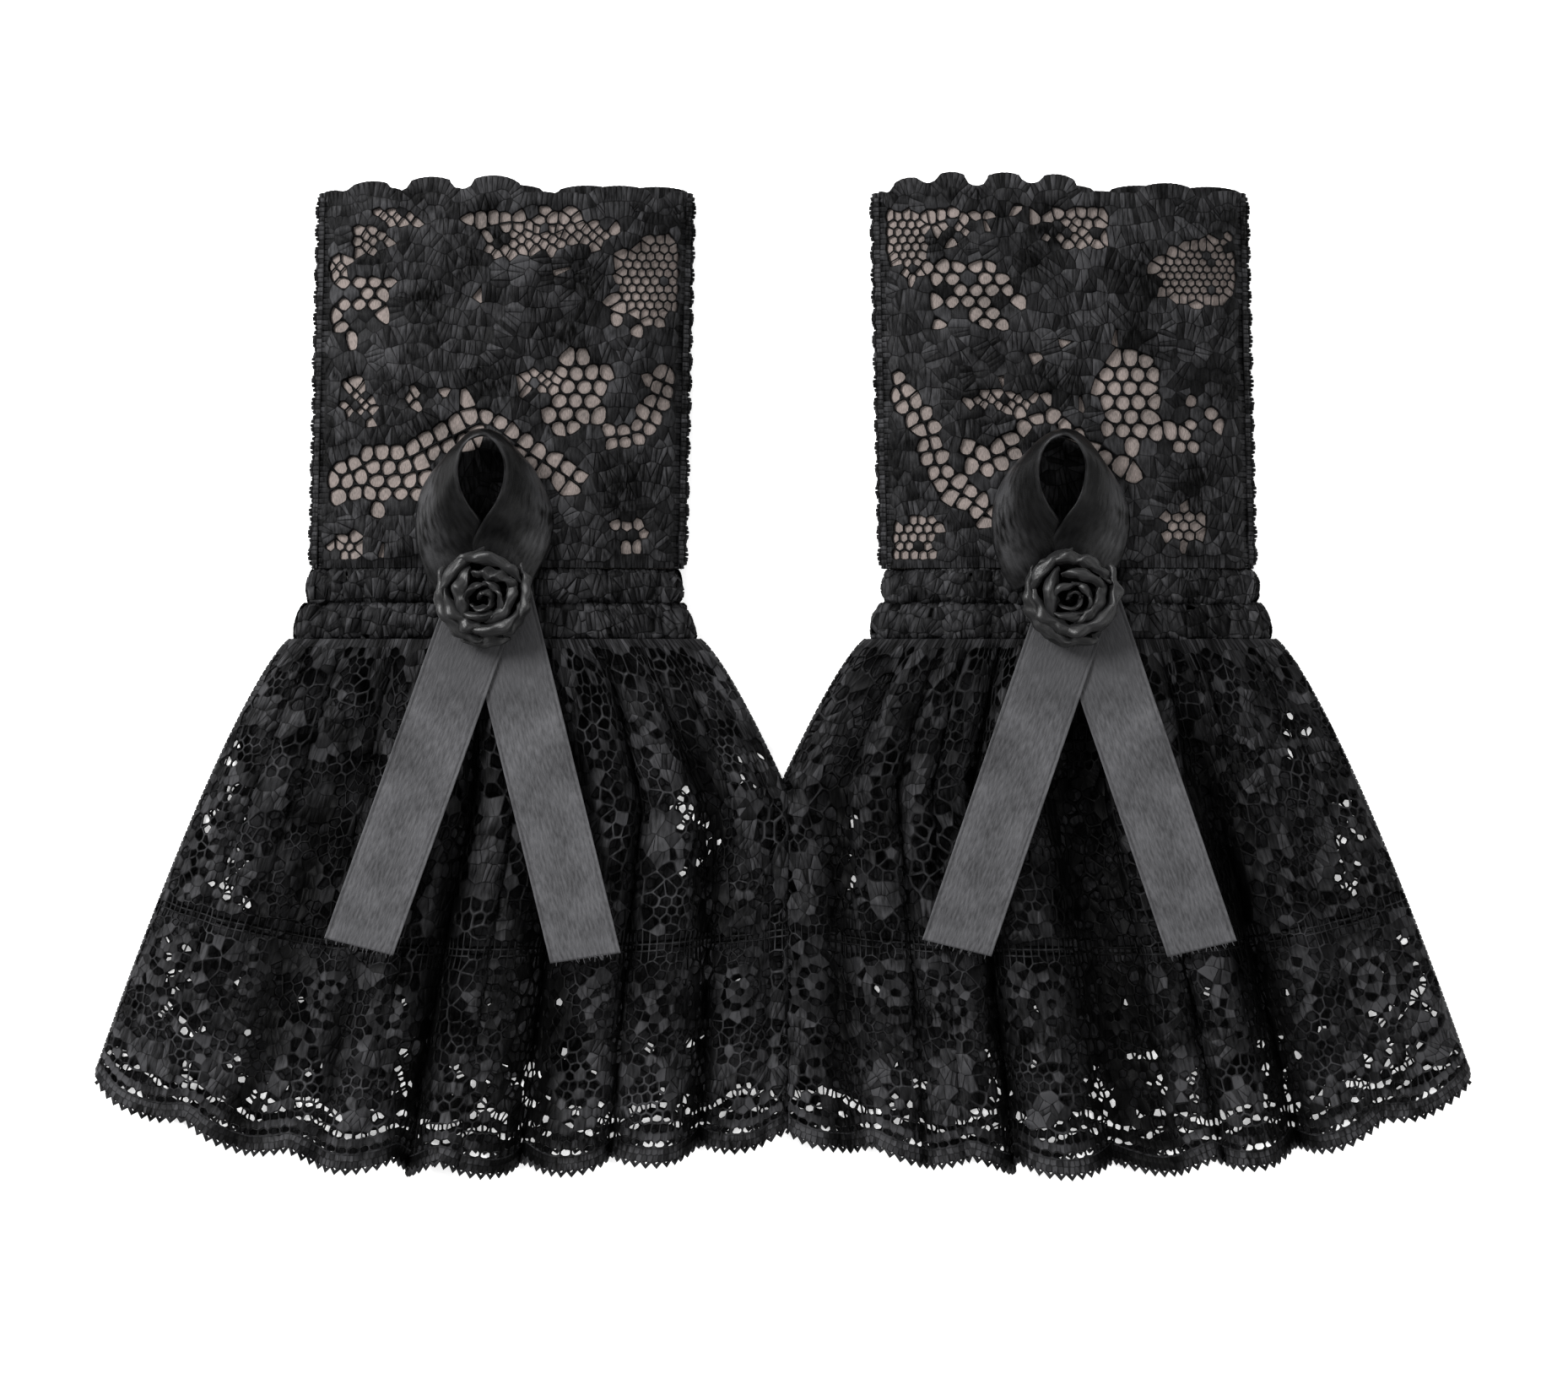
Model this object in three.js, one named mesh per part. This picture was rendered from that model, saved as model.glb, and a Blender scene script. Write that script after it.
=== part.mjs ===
// A pair of short lace wrist cuffs, lying flat and side by side on a table.
// Millimetres. X runs across the pair, Y from the ruffles' hems up to the tubes' top edges, Z up.
// The origin is on the table, under the middle of the pair.
import * as THREE from 'three';

// Tube: stretch lace over a thin lining, flattened, with a flat back and a domed front.
const tubeHalfWidth = 40;
const tubeLength = 84;
const tubeHeight = 12;
const tubeFoldRadius = 3;
const tubeTopOffset = 59.1; // from the middle of the pair to the tube's own middle, at the top edge
const tubeWaistOffset = 61; // the same at the waist
const laceThickness = 0.8;
const liningThickness = 0.5;
const liningTopMargin = 5;
const topScallopDepth = 3.2;
const topScallopCount = 5;
const seamThickness = 1.7;

// Two elastic casings at the waist, each a gathered sleeve round its own elastic.
const casingProud = 1.5; // how far the casings stand above the tube's front
const casingFoldRadius = 3.6;
const casingWall = 0.8;
const casingDepth = 2.4;
const casingPuff = 0.5;
const upperCasingWidth = 7.2;
const lowerCasingWidth = 7.8;
const upperCasingOverhang = 0.4; // past the tube's sides
const lowerCasingOverhang = 2;
const casingOffset = 61.6; // from the middle of the pair
const elasticThickness = 0.9;
const elasticEdgeRoom = 0.4;

// Ruffle: one long lace flounce, gathered under the lower casing.
const ruffleDrop = 113;
const ruffleOuterFlare = 44.5;
const ruffleInnerFlare = 49;
const ruffleFlareCurve = 0.77;
const ruffleThickness = 1;
const ruffleCrestRise = 8;
const ruffleSideHeight = 2.9;
const ruffleHemSideHeight = 2.3;
const ruffleFoldDepth = 6.5;
const ruffleBackFoldDepth = 2.2;
const ruffleBackFoldCount = 7;
const hemRiseOuter = 18;
const hemRiseInner = 7;
const foldFullDrop = 0.7; // how far down the front's folds are at their full depth
const backFoldFullDrop = 0.6;
const backSeamDrop = 0.1; // how far down the back has come to rest on the table
const hemMiddle = 0.55; // where the hem hangs lowest, as a share of the way from outer to inner edge
const hemScallopDepth = 3;
const hemScallopCount = 8;

// Ribbon: one length of satin, crossed and sewn at the waist, with a loop above and two tails below.
const ribbonWidth = 15;
const ribbonThickness = 0.6;
const bowOffset = 63; // from the middle of the pair to the middle of the bow
const bowDrop = 6.2; // from the waist down to the middle of the bow
const tailLength = 58.5;
const tailForkDrop = 21.2; // from the bow's middle down to where the tails part
const tailEndSlant = 1.4;
const loopHalfWidth = 14.7;
const loopBottomRise = 10.2; // this and the next rises are from the bow's middle
const loopTopRise = 34.7;
const loopMouthHalfWidth = 5;
const loopMouthBottomRise = 17;
const loopMouthTopRise = 34.2;
const loopMouthHeight = 9.5;
const loopMouthTilt = 3.5;
const loopFootCurve = 1.73; // over 1 puts the widest part nearer the rose
const loopMouthCurve = 0.61; // under 1 puts the widest part nearer the top

// Ribbon rose, sewn over the crossing.
const roseRadius = 10.4;
const roseHeight = 10.6;
const roseInnerRadius = 6.4;
const roseBudRadius = 3.2;
const rosePetalThickness = 0.8;
const rosePetalCount = 5;

// Clearances
const layerGap = 0.3; // between pieces that lie against each other
const pairGap = 0.3; // between the two ruffles

const casingHeight = tubeHeight + casingProud;
const upperCasingHalfWidth = tubeHalfWidth + upperCasingOverhang;
const lowerCasingHalfWidth = tubeHalfWidth + lowerCasingOverhang;
const overallLength = tubeLength + upperCasingWidth + lowerCasingWidth + ruffleDrop;
const topY = overallLength / 2;
const waistY = topY - tubeLength;
const upperCasingBottomY = waistY - upperCasingWidth;
const ruffleTopY = upperCasingBottomY - lowerCasingWidth;
const bowCentreY = waistY - bowDrop;
const knotZ = casingHeight + layerGap;
const roseZ = knotZ + 2 * ribbonThickness + layerGap;

const { clamp, lerp, smoothstep, degToRad } = THREE.MathUtils;

const finishes = {
  lace: { color: 0x242425, roughness: 0.8, metalness: 0 },
  ruffleLace: { color: 0x1b1b1c, roughness: 0.85, metalness: 0 },
  lining: { color: 0xb79f94, roughness: 0.9, metalness: 0 },
  elastic: { color: 0x141414, roughness: 0.9, metalness: 0 },
  ribbon: { color: 0x55555a, roughness: 0.6, metalness: 0 },
  satin: { color: 0x2c2c2e, roughness: 0.4, metalness: 0 },
};

function namedMesh(name, geometry, finish) {
  const mesh = new THREE.Mesh(geometry, new THREE.MeshStandardMaterial(finishes[finish]));
  mesh.name = name;
  return mesh;
}

// A closed solid swept through stations. Each station is a ring of points, and every ring has the same
// number of them. The sweep either joins its last ring to its first or is capped at both ends.
function sweptSolid(stations, { joined = false } = {}) {
  const ringSize = stations[0].length;
  const points = stations.flat();
  const triangles = [];
  const spans = joined ? stations.length : stations.length - 1;
  for (let i = 0; i < spans; i += 1) {
    const near = i * ringSize;
    const far = ((i + 1) % stations.length) * ringSize;
    for (let j = 0; j < ringSize; j += 1) {
      const next = (j + 1) % ringSize;
      triangles.push(near + j, far + j, far + next, near + j, far + next, near + next);
    }
  }
  if (!joined) {
    const last = (stations.length - 1) * ringSize;
    capFaces(stations[0]).forEach(([a, b, c]) => triangles.push(a, b, c));
    capFaces(stations[stations.length - 1]).forEach(([a, b, c]) => triangles.push(last + a, last + c, last + b));
  }
  return facingOut(points, triangles);
}

// Triangles across a nearly flat ring, turned the way that its outline runs.
function capFaces(ring) {
  const normal = new THREE.Vector3();
  ring.forEach((point, i) => {
    const next = ring[(i + 1) % ring.length];
    normal.add(new THREE.Vector3().crossVectors(point, next));
  });
  const turn = new THREE.Quaternion().setFromUnitVectors(normal.normalize(), new THREE.Vector3(0, 0, 1));
  const flat = ring.map((point) => point.clone().applyQuaternion(turn));
  return THREE.ShapeUtils.triangulateShape(flat.map((point) => new THREE.Vector2(point.x, point.y)), []);
}

function facingOut(points, triangles) {
  const normalPart = new THREE.Vector3();
  let volume = 0;
  for (let i = 0; i < triangles.length; i += 3) {
    normalPart.crossVectors(points[triangles[i + 1]], points[triangles[i + 2]]);
    volume += points[triangles[i]].dot(normalPart);
  }
  if (volume < 0) {
    triangles.reverse();
  }
  const geometry = new THREE.BufferGeometry().setFromPoints(points);
  geometry.setIndex(triangles);
  geometry.computeVertexNormals();
  return geometry;
}

// The loop that a flattened tube follows in cross-section: a half ellipse in front, from side to side, and a
// flat back with round corners. Its place runs from -1 to 1 over the front and from 1 to 3 round the back.
const cornerShare = 0.12;
function hoopPoint({ halfWidth, height, foldRadius }, anyPlace, inset) {
  const place = anyPlace < -1 ? anyPlace + 4 : anyPlace;
  if (place <= 1) {
    const angle = (place * Math.PI) / 2;
    const rise = height - foldRadius;
    const point = new THREE.Vector2(halfWidth * Math.sin(angle), foldRadius + rise * Math.cos(angle));
    const outward = new THREE.Vector2(Math.sin(angle) / halfWidth, Math.cos(angle) / rise).normalize();
    return point.addScaledVector(outward, -inset);
  }
  const fromRight = place < 2;
  const share = fromRight ? place - 1 : 3 - place;
  const centreX = halfWidth - foldRadius;
  const corner = Math.min(share / cornerShare, 1) * (Math.PI / 2);
  const radius = foldRadius - inset;
  const alongFlat = share > cornerShare ? (share - cornerShare) / (1 - cornerShare) : 0;
  const x = centreX * (1 - alongFlat) + radius * Math.cos(corner);
  return new THREE.Vector2(fromRight ? x : -x, foldRadius - radius * Math.sin(corner));
}

// A piece that follows the hoop. profileAt gives the piece's outline as [y, inset] pairs at each place.
function hoopPiece({ hoop, offsetAt, side, from, to, steps, profileAt, joined = false }) {
  const stations = [];
  const stationCount = joined ? steps : steps + 1;
  for (let i = 0; i < stationCount; i += 1) {
    const place = lerp(from, to, i / steps);
    stations.push(profileAt(place).map(([y, inset]) => {
      const point = hoopPoint(hoop, place, inset);
      return new THREE.Vector3(side * (offsetAt(y) + point.x), y, point.y);
    }));
  }
  return sweptSolid(stations, { joined });
}

const tubeHoop = { halfWidth: tubeHalfWidth, height: tubeHeight, foldRadius: tubeFoldRadius };
const tubeOffsetAt = (y) => lerp(tubeWaistOffset, tubeTopOffset, clamp((y - waistY) / tubeLength, 0, 1));
const frontSeamPlace = 0.86; // where the front panel ends, as a place on the hoop
const backSeamPlace = 1.07; // where the back panel starts
const frontSeamRoom = 0.03;
const backSeamRoom = 0.01;
const liningSeamRoom = 0.05;
const backLobeShift = 0.1; // sets the back's lobes behind the front's dips

// Round lobes along the tube's top edge: 0 at a lobe's tip and 1 in the dip between two.
function topDip(share) {
  return 1 - Math.abs(Math.sin(share * topScallopCount * Math.PI));
}

function tubePanel({ side, back }) {
  const from = back ? backSeamPlace : -frontSeamPlace;
  const to = back ? 4 - backSeamPlace : frontSeamPlace;
  return hoopPiece({
    hoop: tubeHoop,
    offsetAt: tubeOffsetAt,
    side,
    from,
    to,
    steps: 40,
    profileAt: (place) => {
      const share = (place - from) / (to - from);
      const top = topY - topScallopDepth * (back ? topDip((share + backLobeShift) % 1) : topDip(share));
      const bottom = waistY + layerGap;
      return [[bottom, 0], [top, 0], [top, laceThickness], [bottom, laceThickness]];
    },
  });
}

function tubeLining({ side, back }) {
  const from = (back ? backSeamPlace : -frontSeamPlace) + liningSeamRoom;
  const to = (back ? 4 - backSeamPlace : frontSeamPlace) - liningSeamRoom;
  const outer = laceThickness + layerGap;
  const inner = outer + liningThickness;
  const top = topY - topScallopDepth - liningTopMargin;
  const bottom = waistY + layerGap;
  return hoopPiece({
    hoop: tubeHoop,
    offsetAt: tubeOffsetAt,
    side,
    from,
    to,
    steps: 20,
    profileAt: () => [[bottom, outer], [top, outer], [top, inner], [bottom, inner]],
  });
}

// An overlocked seam that joins the two panels along one side of the tube.
function tubeSeam({ side, edge }) {
  const top = topY - topScallopDepth;
  const bottom = waistY + layerGap;
  return hoopPiece({
    hoop: tubeHoop,
    offsetAt: tubeOffsetAt,
    side,
    from: edge * (frontSeamPlace + frontSeamRoom),
    to: edge * (backSeamPlace - backSeamRoom),
    steps: 5,
    profileAt: () => [[bottom, 0], [top, 0], [top, seamThickness], [bottom, seamThickness]],
  });
}

const casings = {
  upper: { top: waistY, width: upperCasingWidth, halfWidth: upperCasingHalfWidth },
  lower: { top: upperCasingBottomY, width: lowerCasingWidth, halfWidth: lowerCasingHalfWidth },
};

function casingHoop({ halfWidth }) {
  return { halfWidth, height: casingHeight, foldRadius: casingFoldRadius };
}

// Half of a casing: a sleeve, puffed outside, whose mouth faces the arm and holds the elastic.
function casingHalf({ casing, side, back }) {
  const top = casing.top - layerGap / 2;
  const bottom = casing.top - casing.width + layerGap / 2;
  const middle = (top + bottom) / 2;
  const outline = [
    [bottom, casingPuff],
    [middle, 0],
    [top, casingPuff],
    [top, casingDepth],
    [top - casingWall, casingDepth],
    [top - casingWall, casingPuff + casingWall],
    [bottom + casingWall, casingPuff + casingWall],
    [bottom + casingWall, casingDepth],
    [bottom, casingDepth],
  ];
  const frontGapShare = 0.012;
  const backGapShare = 0.004;
  return hoopPiece({
    hoop: casingHoop(casing),
    offsetAt: () => casingOffset,
    side,
    from: back ? 1 + backGapShare : -1 + frontGapShare,
    to: back ? 3 - backGapShare : 1 - frontGapShare,
    steps: 20,
    profileAt: () => outline,
  });
}

// A closed ring of flat elastic inside its casing.
function elasticRing({ casing, side }) {
  const top = casing.top - layerGap / 2 - casingWall - elasticEdgeRoom;
  const bottom = casing.top - casing.width + layerGap / 2 + casingWall + elasticEdgeRoom;
  const outer = casingPuff + casingWall + layerGap;
  const inner = outer + elasticThickness;
  return hoopPiece({
    hoop: casingHoop(casing),
    offsetAt: () => casingOffset,
    side,
    from: -1,
    to: 3,
    steps: 40,
    joined: true,
    profileAt: () => [[bottom, outer], [top, outer], [top, inner], [bottom, inner]],
  });
}

// The ruffle spreads from the waist. Its outer edge is free and its inner edge stops at the other cuff.
// Widths are measured from the casings' middle, outwards.
function ruffleEdges(drop) {
  const spreadBy = (flare) => lowerCasingHalfWidth + flare * drop ** ruffleFlareCurve;
  const room = casingOffset - pairGap / 2;
  return { outer: spreadBy(ruffleOuterFlare), inner: -Math.min(spreadBy(ruffleInnerFlare), room) };
}

function ruffleHemY(across) {
  const fromMiddle = across < hemMiddle
    ? hemRiseOuter * ((hemMiddle - across) / hemMiddle) ** 2.5
    : hemRiseInner * ((across - hemMiddle) / (1 - hemMiddle)) ** 2;
  const scallop = hemScallopDepth * (1 - Math.abs(Math.sin(across * hemScallopCount * Math.PI)));
  return -topY + fromMiddle + scallop;
}

// How high the crests of the front's folds stand, before any fold is taken down from them.
function ruffleCrestZ(across, drop) {
  const sideZ = lerp(ruffleSideHeight, ruffleHemSideHeight, drop);
  const middleZ = casingHeight - casingPuff + ruffleCrestRise * drop ** 1.5;
  const fromMiddle = clamp(2 * across - 1, -1, 1);
  return lerp(sideZ, middleZ, Math.sqrt(1 - fromMiddle ** 2));
}

// Each fold dips where it is set, as a share of the way from the outer edge to the inner edge.
const foldsOf = {
  left: [
    { at: 0.21, halfWidth: 0.035, share: 0.5 },
    { at: 0.455, halfWidth: 0.03, share: 1 },
    { at: 0.615, halfWidth: 0.05, share: 0.9 },
    { at: 0.87, halfWidth: 0.025, share: 1 },
    { at: 0.965, halfWidth: 0.02, share: 0.5 },
  ],
  right: [
    { at: 0.255, halfWidth: 0.03, share: 1 },
    { at: 0.49, halfWidth: 0.06, share: 0.9 },
    { at: 0.67, halfWidth: 0.025, share: 1 },
    { at: 0.915, halfWidth: 0.03, share: 0.8 },
  ],
};

function frontFoldDrop(folds, across, drop) {
  const dip = folds.reduce((sum, fold) => (
    sum + fold.share * Math.exp(-(((across - fold.at) / fold.halfWidth) ** 2))
  ), 0);
  const fade = Math.sqrt(1 - (2 * across - 1) ** 2);
  return ruffleFoldDepth * Math.min(dip, 1) * fade * smoothstep(drop, 0, foldFullDrop);
}

function backFoldRise(across, drop) {
  const wave = 0.5 - 0.5 * Math.cos(across * ruffleBackFoldCount * 2 * Math.PI);
  const fade = 1 - (2 * across - 1) ** 2;
  const seamRise = casingPuff * (1 - smoothstep(drop, 0, backSeamDrop));
  return seamRise + ruffleBackFoldDepth * wave * fade * smoothstep(drop, 0, backFoldFullDrop);
}

function ruffleSheet({ side, cuff, back }) {
  const acrossSteps = back ? 36 : 50;
  const dropSteps = back ? 5 : 8;
  const sheetPoint = (across, drop, top) => {
    const edges = ruffleEdges(drop);
    const startY = ruffleTopY - layerGap / 2;
    const y = lerp(startY, ruffleHemY(across), drop);
    const x = side * (casingOffset + lerp(edges.outer, edges.inner, across));
    const floorZ = back
      ? backFoldRise(across, drop)
      : ruffleCrestZ(across, drop) - frontFoldDrop(foldsOf[cuff], across, drop) - ruffleThickness;
    return new THREE.Vector3(x, y, floorZ + (top ? ruffleThickness : 0));
  };
  const stations = [];
  for (let i = 0; i <= acrossSteps; i += 1) {
    const across = i / acrossSteps;
    const ring = [];
    for (let j = 0; j <= dropSteps; j += 1) {
      ring.push(sheetPoint(across, j / dropSteps, true));
    }
    for (let j = dropSteps; j >= 0; j -= 1) {
      ring.push(sheetPoint(across, j / dropSteps, false));
    }
    stations.push(ring);
  }
  return sweptSolid(stations);
}

// ---- Bow ----
// The bow isn't mirrored: on both cuffs the tail on the left lies over the tail on the right.
// A tail's heading is the unit vector along it, from the fork towards its cut end.
const tailSplay = {
  left: { over: 19.6, under: 13.9 },
  right: { over: 19, under: 18.6 },
};

function tailHeading(cuff, tail) {
  const splay = degToRad(tailSplay[cuff][tail]);
  const sideways = tail === 'over' ? -Math.sin(splay) : Math.sin(splay);
  return new THREE.Vector2(sideways, -Math.cos(splay));
}

// From the fork, each tail's start line runs out across the ribbon's width.
function tailAcross(heading, tail) {
  return tail === 'over' ? new THREE.Vector2(heading.y, -heading.x) : new THREE.Vector2(-heading.y, heading.x);
}

function bowMiddle(side) {
  return new THREE.Vector2(side * bowOffset, bowCentreY);
}

function forkPoint(side) {
  return bowMiddle(side).add(new THREE.Vector2(0, -tailForkDrop));
}

// The height of the ruffle's crests under a point of the table.
function crestUnder(side, point) {
  const drop = clamp((ruffleTopY - point.y) / ruffleDrop, 0, 1);
  const edges = ruffleEdges(drop);
  const outwards = side * point.x - casingOffset;
  return ruffleCrestZ((outwards - edges.outer) / (edges.inner - edges.outer), drop);
}

function ribbonTail({ side, cuff, tail }) {
  const heading = tailHeading(cuff, tail);
  const across = tailAcross(heading, tail);
  const fork = forkPoint(side);
  const steps = 12;
  const stations = [];
  for (let i = 0; i <= steps; i += 1) {
    const along = lerp(layerGap, tailLength, i / steps);
    const slant = (tailEndSlant * i) / steps;
    const inner = fork.clone().addScaledVector(heading, along - slant / 2).addScaledVector(across, layerGap / 2);
    const outer = fork.clone().addScaledVector(heading, along + slant / 2).addScaledVector(across, ribbonWidth);
    const middle = inner.clone().lerp(outer, 0.5);
    const crests = [inner, middle, outer].map((point) => crestUnder(side, point));
    const z = Math.max(knotZ, Math.max(...crests) + layerGap);
    stations.push([
      new THREE.Vector3(inner.x, inner.y, z),
      new THREE.Vector3(outer.x, outer.y, z),
      new THREE.Vector3(outer.x, outer.y, z + ribbonThickness),
      new THREE.Vector3(inner.x, inner.y, z + ribbonThickness),
    ]);
  }
  return sweptSolid(stations);
}

// The sewn crossing under the rose, two ribbons thick, with a short foot towards each tail.
function ribbonKnot({ side, cuff }) {
  const fork = forkPoint(side);
  const middle = bowMiddle(side);
  const overHeading = tailHeading(cuff, 'over');
  const underHeading = tailHeading(cuff, 'under');
  const overCorner = fork.clone().addScaledVector(tailAcross(overHeading, 'over'), ribbonWidth);
  const underCorner = fork.clone().addScaledVector(tailAcross(underHeading, 'under'), ribbonWidth);
  const neck = ribbonWidth / 2;
  const neckTop = middle.y + loopBottomRise - layerGap;
  const outline = new THREE.Shape([
    fork,
    underCorner,
    new THREE.Vector2(middle.x + neck, middle.y),
    new THREE.Vector2(middle.x + neck, neckTop),
    new THREE.Vector2(middle.x - neck, neckTop),
    new THREE.Vector2(middle.x - neck, middle.y),
    overCorner,
  ]);
  const geometry = new THREE.ExtrudeGeometry(outline, { depth: 2 * ribbonThickness, bevelEnabled: false });
  geometry.translate(0, 0, knotZ);
  return geometry;
}

// A band of ribbon on its edge, closed into a drop shape: wide where it rests, narrow at its open mouth.
function ribbonLoop({ side }) {
  const middle = bowMiddle(side);
  const restZ = tubeHeight + layerGap;
  const steps = 30;
  const ringPoint = (angle, level, outer) => {
    const reach = (1 - Math.cos(angle)) / 2;
    const footX = loopHalfWidth * Math.sin(angle);
    const footY = lerp(loopBottomRise, loopTopRise, reach ** loopFootCurve);
    const mouthX = loopMouthHalfWidth * Math.sin(angle);
    const mouthY = lerp(loopMouthBottomRise, loopMouthTopRise - ribbonThickness, reach ** loopMouthCurve);
    const mouthZ = loopMouthHeight + loopMouthTilt * reach;
    const wall = outer ? 0 : ribbonThickness;
    const shrink = 1 - wall / loopMouthHalfWidth;
    const x = lerp(footX * (outer ? 1 : 1 - wall / loopHalfWidth), mouthX * shrink, level);
    const y = lerp(footY, mouthY, level) + (outer ? 0 : wall * Math.cos(angle));
    return new THREE.Vector3(middle.x + x, middle.y + y, restZ + mouthZ * level);
  };
  const stations = [];
  for (let i = 0; i < steps; i += 1) {
    const angle = (i / steps) * 2 * Math.PI;
    stations.push([
      ringPoint(angle, 0, true),
      ringPoint(angle, 1, true),
      ringPoint(angle, 1, false),
      ringPoint(angle, 0, false),
    ]);
  }
  return sweptSolid(stations, { joined: true });
}

// ---- Rose ----
// A ring of petals, turned from an outline of [radius, height] pairs and pushed out once for each petal.
function petalRing({ side, outline, bulge }) {
  const middle = bowMiddle(side);
  const steps = 24;
  const stations = [];
  for (let i = 0; i < steps; i += 1) {
    const angle = (i / steps) * 2 * Math.PI;
    const push = 1 - bulge * (0.5 - 0.5 * Math.cos(rosePetalCount * angle));
    stations.push(outline.map(([radius, height]) => new THREE.Vector3(
      middle.x + radius * push * Math.cos(angle),
      middle.y + radius * push * Math.sin(angle),
      roseZ + height,
    )));
  }
  return sweptSolid(stations, { joined: true });
}

function roseOuterPetals({ side }) {
  const lip = roseRadius * 0.84;
  const cup = roseInnerRadius + layerGap;
  return petalRing({
    side,
    bulge: 0.06,
    outline: [
      [roseBudRadius, 0],
      [roseRadius * 0.78, 0],
      [roseRadius, roseHeight * 0.4],
      [roseRadius * 0.97, roseHeight * 0.62],
      [lip, roseHeight * 0.86],
      [lip - rosePetalThickness, roseHeight * 0.8],
      [cup + rosePetalThickness, roseHeight * 0.4],
      [cup / 0.94, rosePetalThickness],
      [roseBudRadius, rosePetalThickness],
    ],
  });
}

function roseInnerPetals({ side }) {
  const floorZ = rosePetalThickness + layerGap;
  return petalRing({
    side,
    bulge: 0.05,
    outline: [
      [roseBudRadius + layerGap, floorZ],
      [roseInnerRadius * 0.85, floorZ],
      [roseInnerRadius, roseHeight * 0.5],
      [roseInnerRadius * 0.94, roseHeight * 0.92],
      [roseInnerRadius * 0.8, roseHeight * 0.94],
      [roseBudRadius + 2 * layerGap, roseHeight * 0.6],
      [roseBudRadius + layerGap, roseHeight * 0.4],
    ],
  });
}

function roseBud({ side }) {
  const middle = bowMiddle(side);
  const floorZ = rosePetalThickness + layerGap;
  const outline = [
    [0, floorZ],
    [roseBudRadius * 0.7, floorZ],
    [roseBudRadius, roseHeight * 0.45],
    [roseBudRadius * 0.9, roseHeight * 0.9],
    [roseBudRadius * 0.5, roseHeight],
    [0, roseHeight * 0.95],
  ].map(([radius, height]) => new THREE.Vector2(radius, height));
  const geometry = new THREE.LatheGeometry(outline, 14);
  geometry.rotateX(Math.PI / 2);
  geometry.translate(middle.x, middle.y, roseZ);
  return geometry;
}

function makeCuff(cuff) {
  const side = cuff === 'left' ? -1 : 1;
  const group = new THREE.Group();
  const add = (name, geometry, finish) => group.add(namedMesh(`${cuff}_${name}`, geometry, finish));

  add('tube_lace_front', tubePanel({ side, back: false }), 'lace');
  add('tube_lace_back', tubePanel({ side, back: true }), 'lace');
  add('tube_lining_front', tubeLining({ side, back: false }), 'lining');
  add('tube_lining_back', tubeLining({ side, back: true }), 'lining');
  add('tube_seam_outer', tubeSeam({ side, edge: 1 }), 'lace');
  add('tube_seam_inner', tubeSeam({ side, edge: -1 }), 'lace');

  for (const [place, casing] of Object.entries(casings)) {
    add(`${place}_casing_front`, casingHalf({ casing, side, back: false }), 'lace');
    add(`${place}_casing_back`, casingHalf({ casing, side, back: true }), 'lace');
    add(`${place}_elastic`, elasticRing({ casing, side }), 'elastic');
  }

  add('ruffle_front', ruffleSheet({ side, cuff, back: false }), 'ruffleLace');
  add('ruffle_back', ruffleSheet({ side, cuff, back: true }), 'ruffleLace');

  add('ribbon_knot', ribbonKnot({ side, cuff }), 'ribbon');
  add('ribbon_loop', ribbonLoop({ side }), 'satin');
  for (const tail of ['over', 'under']) {
    add(`ribbon_tail_${tail}`, ribbonTail({ side, cuff, tail }), 'ribbon');
  }

  add('rose_outer_petals', roseOuterPetals({ side }), 'satin');
  add('rose_inner_petals', roseInnerPetals({ side }), 'satin');
  add('rose_bud', roseBud({ side }), 'satin');
  return group;
}

const pair = new THREE.Group();
pair.add(makeCuff('left'), makeCuff('right'));

export default pair;
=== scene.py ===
import math

import bpy
import numpy as np
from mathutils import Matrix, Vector
from mathutils.geometry import delaunay_2d_cdt


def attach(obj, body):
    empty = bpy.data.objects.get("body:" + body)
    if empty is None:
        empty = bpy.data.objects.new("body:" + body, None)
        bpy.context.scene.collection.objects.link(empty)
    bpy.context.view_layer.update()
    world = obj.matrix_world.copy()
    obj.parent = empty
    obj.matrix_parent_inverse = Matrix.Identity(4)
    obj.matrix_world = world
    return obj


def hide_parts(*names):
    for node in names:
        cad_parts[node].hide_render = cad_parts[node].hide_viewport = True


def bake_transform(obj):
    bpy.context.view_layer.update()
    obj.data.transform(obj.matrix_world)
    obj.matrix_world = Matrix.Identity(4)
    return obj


# A pair of black lace wrist cuffs, lying flat on a white table.
# Cloth is worked out flat, in millimetres, and then laid on the shape it takes.

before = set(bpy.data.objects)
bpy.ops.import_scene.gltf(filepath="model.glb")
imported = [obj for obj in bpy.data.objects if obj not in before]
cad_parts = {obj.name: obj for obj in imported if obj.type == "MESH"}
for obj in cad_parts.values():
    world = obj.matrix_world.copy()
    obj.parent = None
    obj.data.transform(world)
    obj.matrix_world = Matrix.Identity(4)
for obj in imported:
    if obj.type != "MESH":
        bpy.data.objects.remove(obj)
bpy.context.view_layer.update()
scene = bpy.context.scene
mm = 0.001
print("frame loaded:", len(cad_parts), "nodes")


# ---- camera, light and table ----
view = {
    "distance": 1200,       # from the lens to the cloth
    "clothHeight": 8,
    "pictureWidth": 334.4,  # how much of the table the picture takes in
    "middle": (0.3, -4.6),
    "sensor": 36,
}


def setCamera():
    camera = bpy.data.cameras.new("camera")
    camera.sensor_width = view["sensor"]
    camera.lens = view["sensor"] * view["distance"] / view["pictureWidth"]
    camera.clip_end = 10
    holder = bpy.data.objects.new("camera", camera)
    holder.location = [v * mm for v in (*view["middle"], view["distance"] + view["clothHeight"])]
    scene.collection.objects.link(holder)
    scene.camera = holder


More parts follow.
